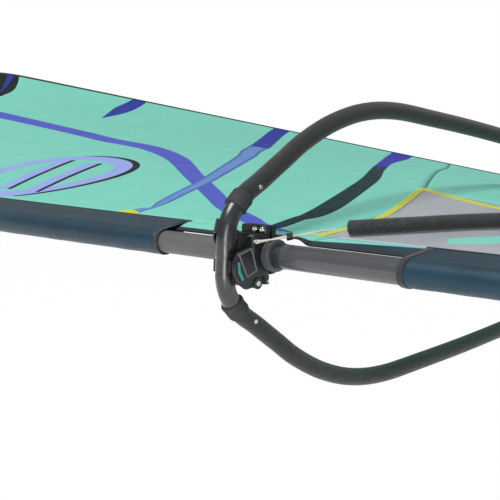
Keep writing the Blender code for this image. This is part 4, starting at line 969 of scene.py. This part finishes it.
@dataclass
class LuffSleeve:
    """The sleeve that slides over the mast, in two stretches with bound ends."""

    plan: SailPlan = PLAN
    wall: float = 0.0010
    ease: float = 0.0012
    sides: int = 56
    fold_height: float = 0.0005

    def rings(self, x: np.ndarray, wall: np.ndarray) -> np.ndarray:
        """Teardrop sections round the mast.

        Each section is an arc of the mast's radius plus the sleeve's ease and wall, from one
        tangent point to the other, closed by the two straight sides to the rear seam.

        Args:
            x: places along the mast.
            wall: how far outside the bare sleeve each section lies.

        Returns:
            Rows by points by three.
        """
        plan = self.plan
        luff = plan.luff(x)
        tail_y = luff + plan.sleeve_depth - 0.0003 - self.wall * 1.5 + wall * 0.9
        tail_z = plan.height(x, luff + plan.sleeve_depth)
        lean = np.arctan2(tail_z, tail_y - luff)
        radius = plan.mast(x) + self.ease + wall
        spread = np.arccos(radius / np.hypot(tail_y - luff, tail_z))
        turn = lean + spread + (2 * math.pi - 2 * spread) * np.linspace(0, 1, self.sides)[:, None]
        fold = self.fold_height * np.sin(3 * turn + 31 * x) * np.sin(47 * x + 2 * turn) ** 2
        size = radius + np.abs(fold)
        arc = np.stack([np.broadcast_to(x, turn.shape), luff + size * np.cos(turn), size * np.sin(turn)], -1)
        tip = 0.0004 + wall / 2
        share = np.linspace(0, 1, 6)[1:, None]
        low, high = arc[-1], arc[0]
        lower_tail = np.stack([x, tail_y, tail_z - tip], -1)
        upper_tail = np.stack([x, tail_y, tail_z + tip], -1)
        there = low + (lower_tail - low) * share[..., None]
        back = upper_tail + (high - upper_tail) * np.linspace(0, 1, 6)[:-1, None, None]
        return np.concatenate([arc, there, back], 0).transpose(1, 0, 2)

    def stretch(self, node: str, start: float, end: float) -> None:
        """One stretch of sleeve, with folds that run round it between its two ends."""
        x = np.linspace(start, end, int((end - start) / 0.014))
        wall = np.full_like(x, self.wall)
        points = self.rings(x, wall)
        piece = surface(f"cloth_{node}", points, around=True)
        walled(piece, self.wall * 0.9, -1.0)
        dressed(piece, SLEEVE_SATIN, "rig", node)

    def binding(self, name: str, start: float, end: float) -> None:
        """A bound edge: a band of webbing round the sleeve with a fold at its lip."""
        x = np.array([start, start + 0.0006, (start + end) / 2, end - 0.0006, end])
        proud = np.array([0.0, 0.0008, 0.0011, 0.0008, 0.0])
        piece = surface(name, self.rings(x, self.wall + 0.0004 + proud), around=True)
        walled(piece, 0.0010, -1.0)
        dressed(piece, BINDING, "rig")

    def build(self) -> None:
        """Both stretches and the bound edges of the cut-out."""
        plan = self.plan
        self.stretch("sleeve_upper", plan.head_x, plan.cutout_top)
        self.stretch("sleeve_lower", plan.cutout_low, plan.tack_x)
        self.binding("binding_cutout_top", plan.cutout_top - 0.008, plan.cutout_top + 0.0012)
        self.binding("binding_cutout_low", plan.cutout_low - 0.0012, plan.cutout_low + 0.010)
        self.binding("binding_tack", plan.tack_x - 0.012, plan.tack_x + 0.0012)


@dataclass
class Mast:
    """The two mast sections, with the dark wrap below the boom and the fittings at the tip."""

    plan: SailPlan = PLAN
    foot_x: float = -0.1650
    chamfer: float = 0.0008

    def axis(self, start: float, end: float, count: int) -> np.ndarray:
        """The mast's axis from a lower place to a higher one."""
        x = np.linspace(start, end, count)
        return np.stack([x, self.plan.luff(x), np.zeros(count)], 1)

    def section(self, node: str, start: float, end: float) -> None:
        """A section of tube: radius from the plan along the bent axis, open at its lower end."""
        path = self.axis(start, end, 120)
        far = travelled(path)
        sizes = self.plan.mast(path[:, 0])
        end, first, last = float(far[-1]), float(sizes[0]), float(sizes[-1])
        outside = [(0.0, first - self.chamfer), (self.chamfer, first)]
        outside += [(float(place), float(size)) for place, size in zip(far[1:-1], sizes[1:-1])]
        outside += [(end - self.chamfer, last), (end, last - self.chamfer)]
        piece = turned(f"laminate_{node}", path, outside, 64, Z_WAY)
        dressed(piece, MAST_LAMINATE, "rig", node)

    def layer(self, name: str, start: float, end: float, edge: tuple[float, float], top: float,
              step: float, finish: Finish) -> None:
        """A thin layer round the mast.

        Args:
            name: the piece's name.
            start: where it starts along the mast.
            end: where it ends.
            edge: the length of the slope at either end, and the radius where it starts.
            top: the radius between the slopes.
            step: longest stretch between two rings of points.
            finish: its material.
        """
        path = self.axis(start, end, 20)
        length = length_of(path)
        slope, low = edge
        profile = [(0.0, low), (slope, top), (length - slope, top), (length, low)]
        dressed(turned(name, path, profile, 64, Z_WAY, step=step), finish, "rig")

    def mark(self) -> None:
        """The small round setting mark above the boom: a thin disc bent to the mast."""
        centre, facing = self.plan.boom_x - 0.062, math.radians(250)
        angle = full_turn(24)
        size = np.array([0.0052, 0.0044, 0.0030, 0.0015])[:, None]
        lift = self.plan.mast_radius + np.array([0.0000, 0.0003, 0.0004, 0.0004])[:, None]
        turn = facing + size * np.sin(angle) / self.plan.mast_radius
        points = np.stack(np.broadcast_arrays(centre + size * np.cos(angle), lift * np.cos(turn),
                                              lift * np.sin(turn)), -1)
        dressed(surface("setting_mark", points, around=True, capped=True), NYLON, "rig")

    def build(self) -> None:
        """The mast, a shrink film below the clamp, a turn of tape on it, and the tip."""
        plan = self.plan
        self.section("mast_bottom_section", self.foot_x, plan.joint_x + 0.0002)
        self.section("mast_top_section", plan.joint_x - 0.0002, plan.mast_top)
        self.layer("mast_wrap", plan.boom_x + 0.0430, plan.cutout_low + 0.0550, (0.0004, 0.01882), 0.01915,
                   0.020, MAST_WRAP)
        self.layer("mast_tape", plan.boom_x + 0.0415, plan.boom_x + 0.0590, (0.0003, 0.01920), 0.01955,
                   0.004, TAPE_BLACK)
        self.mark()
        recast("mast_ferrule", MAST_WRAP_OBJECT)
        recast("mast_tip_plug", NYLON, 0.0006)


ARM_ROUTE = ((-0.0720, 0.000), (-0.0712, 0.034), (-0.0600, 0.064), (-0.0340, 0.0905),
             (0.0000, 0.1110), (0.0500, 0.1425), (0.1000, 0.1735), (0.1700, 0.2050),
             (0.2500, 0.2255), (0.3400, 0.2310), (0.4600, 0.2215), (0.6200, 0.2055),
             (0.8000, 0.1830), (0.9800, 0.1560), (1.1200, 0.1375), (1.2200, 0.1295),
             (1.3200, 0.1270), (1.6200, 0.1270))


@dataclass
class Boom:
    """The loop, its saddle, and an arm, cuff, grip and locking buttons on either side."""

    loop: float = 0.0145
    saddle: float = 0.0190
    arm: float = 0.0126
    arm_bore: float = 0.0106
    grip: float = 0.0151
    cuff: float = 0.0180
    journal_depth: float = 0.0005
    rib_pitch: float = 0.0032
    rib_height: float = 0.00022
    per_span: int = 16

    def route(self, first: float, last: float, side: int) -> np.ndarray:
        """The tube's centreline between two knots of the route, on the upper (1) or lower (-1) side.

        Args:
            first: knot where it starts; a negative knot lies on the other side.
            last: knot where it ends.
            side: 1 or -1.

        Returns:
            Points of the smooth curve, a sixteenth of a span apart.
        """
        over = [(BOOM_X, y, -side * z) for y, z in ARM_ROUTE[:0:-1]]
        here = [(BOOM_X, y, side * z) for y, z in ARM_ROUTE]
        whole = smooth_path(over + here, self.per_span)
        zero = len(over)
        start, end = (int(round((zero + knot) * self.per_span)) for knot in (first, last))
        return whole[start:end + 1]

    def loop_tube(self) -> None:
        """The loop: one glossy tube from cuff to cuff, a little thinner where it turns in the clamp."""
        path = self.route(-3.15, 3.15, 1)
        length = length_of(path)
        middle, journal = length / 2, self.loop - self.journal_depth
        piece = turned("carbon_front_loop", path, [
            (0.0, self.loop - 0.001), (0.001, self.loop), (middle - 0.028, self.loop),
            (middle - 0.026, journal), (middle - 0.004, journal), (middle - 0.002, self.loop),
            (length - 0.001, self.loop), (length, self.loop - 0.001)], 72, X_WAY, step=0.004)
        dressed(piece, CARBON, "boom", "front_loop")

    def saddle_shell(self) -> None:
        """The moulded cover on the loop's upper half, cut to an arch at its lower edge.

        The lower edge falls from the front to the sides by a power of the cosine of the turn; the
        upper edge is a slanted cut, by the cosine of the turn, and has a rolled lip.
        """
        path = self.route(0, 3, 1)
        angle = full_turn(96)[None, :]
        arch_turn, lip_turn = math.radians(255), math.radians(223)
        lower = 0.0100 + 0.0220 * np.clip(np.cos(angle - arch_turn), 0, 1) ** 1.6
        top = length_of(self.route(0, 2, 1)) - 0.0200
        upper = top + 0.0050 * np.cos(angle - lip_turn)
        share = np.concatenate([[0.0, 0.012, 0.03], np.linspace(0.08, 0.95, 22), [0.975, 0.99, 1.0]])[:, None]
        size = np.full_like(share, self.saddle)
        size[:2, 0] = (self.saddle - 0.0014, self.saddle - 0.0004)
        size[-2:, 0] = (self.saddle - 0.0004, self.saddle - 0.0014)
        points = around_path(path, lower + (upper - lower) * share, angle, size, X_WAY)
        piece = surface("shell_saddle", points, around=True)
        walled(piece, 0.0026, -1.0)
        dressed(piece, SADDLE_GLOSS, "boom", "saddle")

    def cuffs(self, word: str, side: int) -> None:
        """A rubber cuff with grooves 3 mm apart and a thick lip at its loop end."""
        path = self.route(2.25, 2.9375, side)
        length = length_of(path)
        rows = [(0.0, self.loop + 0.0004), (0.0006, self.cuff - 0.0006), (0.0020, self.cuff + 0.0004),
                (0.0042, self.cuff + 0.0004)]
        far = np.arange(0.0060, length - 0.0050, 0.0005)
        groove = np.clip(np.sin(2 * math.pi * far / self.rib_pitch) * 2.0, -1, 1) * self.rib_height
        rows += [(float(place), float(self.cuff - 0.0006 + rise)) for place, rise in zip(far, groove)]
        rows += [(length - 0.0042, self.cuff - 0.0002), (length - 0.0012, self.cuff - 0.0008),
                 (length, self.cuff - 0.0024), (length, self.grip - 0.0006)]
        piece = turned(f"rubber_{word}_cuff", path, rows, 64, X_WAY)
        dressed(piece, RUBBER, "boom", f"{word}_cuff")

    def tubes(self, word: str, side: int) -> None:
        """An arm's tube with its open rear end, and the foam skin over its front part."""
        path = self.route(3.03, 17, side)
        length = length_of(path)
        piece = turned(f"carbon_{word}_arm", path, [
            (0.0, self.arm - 0.002), (0.001, self.arm), (length - 0.0006, self.arm),
            (length, self.arm - 0.0005), (length, self.arm_bore + 0.0004), (length - 0.012, self.arm_bore)],
            40, X_WAY, step=0.010)
        dressed(piece, CARBON, "boom", f"{word}_arm")
        path = self.route(2.875, 12, side)
        length = length_of(path)
        piece = turned(f"foam_{word}_grip", path, [
            (0.0020, self.arm + 0.0002), (0.0020, self.grip - 0.0012), (0.0032, self.grip),
            (length - 0.003, self.grip), (length - 0.0008, self.grip - 0.0008), (length, self.arm + 0.0006)],
            56, X_WAY, step=0.006)
        dressed(piece, GRIP_FOAM, "boom", f"{word}_grip")

    def button(self, node: str) -> None:
        """A sprung locking button: a plain pin with a rounded face towards +X."""
        low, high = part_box(node)
        centre = (low + high) / 2
        path = np.array([(low.x, centre.y, centre.z), (high.x, centre.y, centre.z)])
        radius, length = (high.y - low.y) / 2, high.x - low.x
        piece = turned(f"steel_{node}", path, blunt_ends(length, radius, 0.0012), 32, Y_WAY)
        dressed(piece, STEEL, BODY_OF[node], node)

    def build(self) -> None:
        """The boom with both sides and its tail."""
        self.loop_tube()
        self.saddle_shell()
        for word, side in (("upper", 1), ("lower", -1)):
            self.tubes(word, side)
            self.cuffs(word, side)
            self.button(f"snap_button_{word}")
            self.button(f"tail_button_{word}")
        recast("tail_tube", CARBON_OBJECT)
        recast("tail_block", NYLON, 0.0006)
        recast("tail_sheave", NYLON_GREY)
        recast("outhaul_line", LINE_OBJECT)
        recast("outhaul_hook", STEEL)


@dataclass
class MastClamp:
    """The boom head: block, jaw, lever, pins, bolts and the ribbed rubber adapter."""

    adapter_start: float = BOOM_X - 0.0340
    bore: float = 0.01905
    body: float = 0.02355
    rib: float = 0.02475
    slit: float = 0.0030

    def adapter(self) -> None:
        """The rubber sleeve: its wall's section swept round the mast between the slit's two lips."""
        rows = [(0.0, self.bore), (0.0, self.rib - 0.0005), (0.0006, self.rib), (0.0046, self.rib),
                (0.0052, self.body), (0.0630, self.body), (0.0636, self.rib), (0.0676, self.rib),
                (0.0682, self.body - 0.001), (0.0712, self.body - 0.001), (0.0718, self.rib),
                (0.0758, self.rib), (0.0765, self.rib - 0.0006), (0.0765, self.bore)]
        profile = np.asarray(rows)
        half = math.asin(self.slit / self.body)
        angle = np.linspace(half, 2 * math.pi - half, 84)[:, None]
        path = np.array([(self.adapter_start, 0.0, 0.0), (self.adapter_start + 0.2, 0.0, 0.0)])
        points = around_path(path, profile[None, :, 0], angle, profile[None, :, 1], Y_WAY)
        piece = surface("rubber_mast_adapter", points, around=True, capped=True)
        dressed(piece, RUBBER_GREY, "rig", "mast_adapter")

    def bolt(self, node: str) -> None:
        """A socket screw: a domed head with a round recess, and its shank."""
        low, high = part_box(node)
        centre = (low + high) / 2
        path = np.array([(centre.x, low.y, centre.z), (centre.x, high.y, centre.z)])
        length = high.y - low.y
        rows = [(0.0018, 0.0019), (0.0004, 0.0019), (0.0, 0.0023), (0.0, 0.0035), (0.0006, 0.0041),
                (0.0042, 0.0042), (0.0042, 0.0025), (length, 0.0025)]
        dressed(turned(f"steel_{node}", path, rows, 40, X_WAY), STEEL, "rig", node)

    def lever_frame(self) -> None:
        """The raised rim on the lever's face: a round bead along a closed four-sided line."""
        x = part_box("clamp_lever")[1].x - 0.0001
        corners = [(-0.0800, 0.0050), (-0.0540, 0.0130), (-0.0410, -0.0200), (-0.0610, -0.0290)]
        line = kept_corners(corners + corners[:1], 60)
        path = np.concatenate([np.full((len(line), 1), x), line], 1)
        length = length_of(path)
        piece = turned("lever_rim", path, [(0.0, 0.0015), (length, 0.0015)], 16, X_WAY, step=0.002)
        dressed(piece, NYLON_GREY, "clamp_lever")

    def lever_boss(self) -> None:
        """The round boss round the lever's pin: a flat-topped ring with rounded edges."""
        low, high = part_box("lever_pin")
        centre, face = (low + high) / 2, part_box("clamp_lever")[1].x
        path = np.array([(face - 0.0010, centre.y, centre.z), (face + 0.0040, centre.y, centre.z)])
        rows = [(0.0, 0.0052), (0.0, 0.0088), (0.0026, 0.0088), (0.0034, 0.0080), (0.0034, 0.0058),
                (0.0030, 0.0052)]
        dressed(turned("lever_boss", path, rows, 48, Y_WAY, ring=True), NYLON, "clamp_lever")

    def build(self) -> None:
        """The whole clamp."""
        self.lever_boss()
        recast("head_block", NYLON, 0.0005)
        recast("rear_jaw", NYLON, 0.0005)
        recast("clamp_lever", NYLON, 0.0006)
        recast("lever_inlay", ACCENT)
        recast("lever_pin", STEEL, 0.0003)
        recast("jaw_pin", STEEL)
        self.lever_frame()
        for number in (1, 2):
            self.bolt(f"clamp_bolt_{number}")
        self.adapter()


@dataclass
class Uphaul:
    """The rope that pulls the rig up: lashing, stop, padded rope and its elastic."""

    plan: SailPlan = PLAN
    rope_radius: float = 0.0120
    elastic_radius: float = 0.0030
    strand: float = 0.0011
    braid_pitch: float = 0.0036
    lashing_turn: float = 2.6 * math.pi

    def laid(self, places: Sequence[tuple[float, float]], radius: float) -> list[tuple[float, float, float]]:
        """Points on the sail at the given places, a radius and 0.6 mm clear of the cloth."""
        flat = np.array([(BOOM_X + x, y) for x, y in places])
        return [tuple(point) for point in self.plan.on_surface(flat, 0.0005 + radius + 0.0006).tolist()]

    def rope_route(self) -> np.ndarray:
        """The padded rope's centreline, in loose curves over the sail."""
        places = ((0.120, 0.066), (0.150, 0.084), (0.200, 0.118), (0.270, 0.172), (0.350, 0.228),
                  (0.440, 0.262), (0.540, 0.264), (0.640, 0.236), (0.740, 0.192), (0.840, 0.148),
                  (0.930, 0.118))
        return smooth_path(self.laid(places, self.rope_radius), 12)

    def rope(self) -> bpy.types.Object:
        """The rope: a round tube whose surface rises where the strands of its braid cross.

        radius = rope radius + rise * max(|sin(4 turn + laid)|, |sin(4 turn - laid)|), where laid is
        the distance over the pitch.  The rise is strongest over the first 70 mm, and both ends are
        rounded off.
        """
        path = self.rope_route()
        length = length_of(path)
        distance = np.linspace(0, length, 900)[:, None]
        angle = full_turn(64)[None, :]
        laid = distance / self.braid_pitch
        over = np.maximum(np.abs(np.sin(4 * angle + laid)), np.abs(np.sin(4 * angle - laid)))
        rise = 0.0004 + 0.0009 * np.clip(1 - (distance - 0.07) / 0.04, 0, 1)
        ends = np.minimum(distance, length - distance)
        blunt = np.sqrt(np.clip(1 - (1 - np.clip(ends / 0.0055, 0, 1)) ** 2, 0.10, 1))
        radius = (self.rope_radius - 0.0008 + rise * (over - 0.6)) * blunt
        points = around_path(path, distance, angle, radius, Z_WAY)
        piece = surface("uphaul_padded_rope", points, around=True, capped=True)
        dressed(piece, ROPE_BLACK, "rig", "uphaul_rope")
        LOG.info("uphaul rope %.3f m", length)
        return piece

    def elastic(self) -> bpy.types.Object:
        """The shock cord from the rope's end to the hook on the tack block."""
        places = ((0.9440, 0.1135), (0.9900, 0.0990), (1.0400, 0.0840), (1.0850, 0.0720))
        route = self.laid(places, self.elastic_radius)
        route += [(-0.2830, 0.0620, 0.0255), (-0.2650, 0.0555, 0.0200), (-0.2535, 0.0505, 0.0152)]
        path = smooth_path(route, 10)
        length = length_of(path)
        piece = turned("uphaul_shock_cord", path, blunt_ends(length, self.elastic_radius, 0.0012), 28,
                       Z_WAY, step=0.003)
        dressed(piece, ROPE_BLACK, "rig", "uphaul_elastic")
        LOG.info("uphaul elastic %.3f m", length)
        return piece

    def lashing(self) -> None:
        """Two thin strands side by side, half a strand's width to either side of the lashing's line."""
        route = ((0.0285, -0.0340, 0.0220), (0.0330, -0.0330, 0.0225), (0.0420, -0.0240, 0.0250),
                 (0.0550, -0.0080, 0.0290), (0.0700, 0.0100, 0.0330), (0.0880, 0.0320, 0.0380),
                 (0.1080, 0.0540, 0.0440))
        line = smooth_path([(BOOM_X + x, y, z) for x, y, z in route], 12)
        far = travelled(line)
        strands = []
        for place, phase in enumerate((0.0, math.pi)):
            turn = phase + self.lashing_turn * far / far[-1]
            path = around_path(line, far, turn, np.full_like(far, 0.00115), Z_WAY)
            length = length_of(path)
            piece = turned(f"lashing_strand_{place + 1}", path,
                           blunt_ends(length, self.strand, 0.0008), 20, Z_WAY, step=0.0015)
            nodes = ("uphaul_lashing",) if place == 0 else ()
            strands.append((dressed(piece, LINE_PALE, "rig", *nodes), path, length))
        knot = self.knot(line[0])
        piece, path, length = strands[0]

    def knot(self, place: np.ndarray) -> bpy.types.Object:
        """A figure-eight knot at the head: a tube along a curve that turns three times about itself."""
        turn = np.linspace(0, 2 * math.pi, 120)
        wide = 0.0030 + 0.0012 * np.cos(3 * turn)
        middle = place + np.array([0.0006, -0.001, 0.0])
        path = middle + np.stack([wide * np.cos(2 * turn), wide * np.sin(2 * turn),
                                  0.0022 * np.sin(3 * turn)], 1)
        length = length_of(path)
        profile = [(0.0, self.strand), (length, self.strand)]
        piece = turned("lashing_knot", path, profile, 16, Z_WAY, step=0.001)
        return dressed(piece, LINE_PALE, "rig")

    def build(self) -> None:
        """The whole uphaul."""
        self.rope()
        self.elastic()
        self.lashing()
        recast("cord_stop", NYLON, 0.0004)
        recast("uphaul_hook", STEEL)


@dataclass
class MastFoot:
    """The extension with its collar and downhaul, and the two-axis joint on the deck plate."""

    finishes: tuple[tuple[str, Finish, float], ...] = (
        ("extension_tube", ALLOY, 0.0), ("extension_foot", NYLON, 0.0005), ("height_collar", NYLON, 0.0005),
        ("collar_pin", STEEL, 0.0004), ("base_sheave", NYLON_GREY, 0.0), ("release_knob", STEEL, 0.0005),
        ("tack_block", STEEL, 0.0005), ("tack_sheave", NYLON_GREY, 0.0), ("tack_strap", BINDING, 0.0),
        ("downhaul_line", LINE_OBJECT, 0.0), ("upper_yoke", NYLON, 0.0005), ("joint_cross", ALLOY, 0.0005),
        ("lower_yoke", NYLON, 0.0005), ("deck_plate", RUBBER, 0.0008))

    def build(self) -> None:
        """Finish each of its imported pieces."""
        for node, finish, edge in self.finishes:
            recast(node, finish, edge)


@dataclass
class Studio:
    """A pale floor, soft light and the camera."""

    camera_place: tuple[float, float, float] = (-0.2135, -1.3002, 0.1778)
    azimuth: float = 42.77
    elevation: float = 5.62
    roll: float = 2.02
    lens: float = 82.8
    sensor: float = 36.0
    floor_z: float = -2.60
    floor_reach: float = 60.0
    floor_glow: float = 0.10
    surround: float = 0.30
    sky: float = 2.45
    sky_width: float = 34.0
    sky_way: tuple[float, float, float] = (0.10, 0.55, -1.0)

    def camera(self) -> None:
        """A long lens at the boom's height, a little above the mast and rolled two degrees."""
        azimuth, elevation, roll = map(math.radians, (self.azimuth, self.elevation, self.roll))
        ahead = Vector((-math.sin(azimuth) * math.cos(elevation), math.cos(azimuth) * math.cos(elevation),
                        -math.sin(elevation)))
        level = Vector((math.cos(azimuth), math.sin(azimuth), 0.0))
        rise = level.cross(ahead)
        right = level * math.cos(roll) + rise * math.sin(roll)
        upright = right.cross(ahead)
        data = bpy.data.cameras.new("camera")
        data.lens = self.lens
        data.sensor_width = self.sensor
        data.clip_end = 200.0
        piece = placed("camera", data)
        turn = Matrix((right, upright, -ahead)).transposed().to_4x4()
        piece.matrix_world = Matrix.Translation(self.camera_place) @ turn
        bpy.context.scene.camera = piece

    def strip(self, name: str, place: tuple[float, float, float], width: float, height: float,
              power: float) -> None:
        """A tall narrow light that faces the boom head and draws a line down its glossy tubes."""
        data = bpy.data.lights.new(name, "AREA")
        data.shape = "RECTANGLE"
        data.size = width
        data.size_y = height
        data.energy = power
        turn = (Vector((BOOM_X, 0.0, 0.0)) - Vector(place)).to_track_quat("-Z", "Y")
        placed(name, data).matrix_world = Matrix.Translation(place) @ turn.to_matrix().to_4x4()

    def room(self) -> None:
        """The floor and an even white surround."""
        reach = np.array([-self.floor_reach, self.floor_reach])
        x, y = np.meshgrid(reach, reach, indexing="ij")
        floor = surface("floor", np.stack([x, y, np.full_like(x, self.floor_z)], -1))
        material = bpy.data.materials.new("pale_floor")
        material.use_nodes = True
        shader = material.node_tree.nodes["Principled BSDF"]
        for socket, value in (("Base Color", linear("#f8f8f8")), ("Emission Color", linear("#ffffff")),
                              ("Emission Strength", self.floor_glow), ("Roughness", 0.9)):
            shader.inputs[socket].default_value = value
        floor.data.materials.append(material)
        world = bpy.data.worlds.new("surround")
        world.use_nodes = True
        tree = world.node_tree
        ray = add_node(tree, "ShaderNodeLightPath")
        light = add_node(tree, "ShaderNodeMapRange", {}, {
            "Value": ray.outputs["Is Camera Ray"], "To Min": self.surround, "To Max": 1.0})
        tree.links.new(light.outputs[0], tree.nodes["Background"].inputs["Strength"])
        tree.nodes["Background"].inputs["Color"].default_value = (1.0, 1.0, 1.0, 1.0)
        bpy.context.scene.world = world
        bpy.context.scene.view_settings.view_transform = "Standard"

    def sun(self) -> None:
        """A broad soft light from above and in front, the same all over the floor."""
        data = bpy.data.lights.new("sky", "SUN")
        data.energy = self.sky
        data.angle = math.radians(self.sky_width)
        way = Vector(self.sky_way)
        placed("sky", data).matrix_world = way.to_track_quat("-Z", "Y").to_matrix().to_4x4()

    def build(self) -> None:
        """Floor, surround and lights."""
        self.room()
        self.sun()
        self.strip("front_strip", (0.25, -1.85, -0.10), width=0.90, height=1.7, power=28.0)


def main() -> None:
    """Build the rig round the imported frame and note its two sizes."""
    logging.basicConfig(level=logging.INFO, format="%(message)s")
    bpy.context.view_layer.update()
    studio = Studio()
    studio.camera()
    Uphaul().build()
    Sail().build()
    LuffSleeve().build()
    Mast().build()
    Boom().build()
    MastClamp().build()
    MastFoot().build()
    studio.build()


if __name__ == "__main__":
    main()
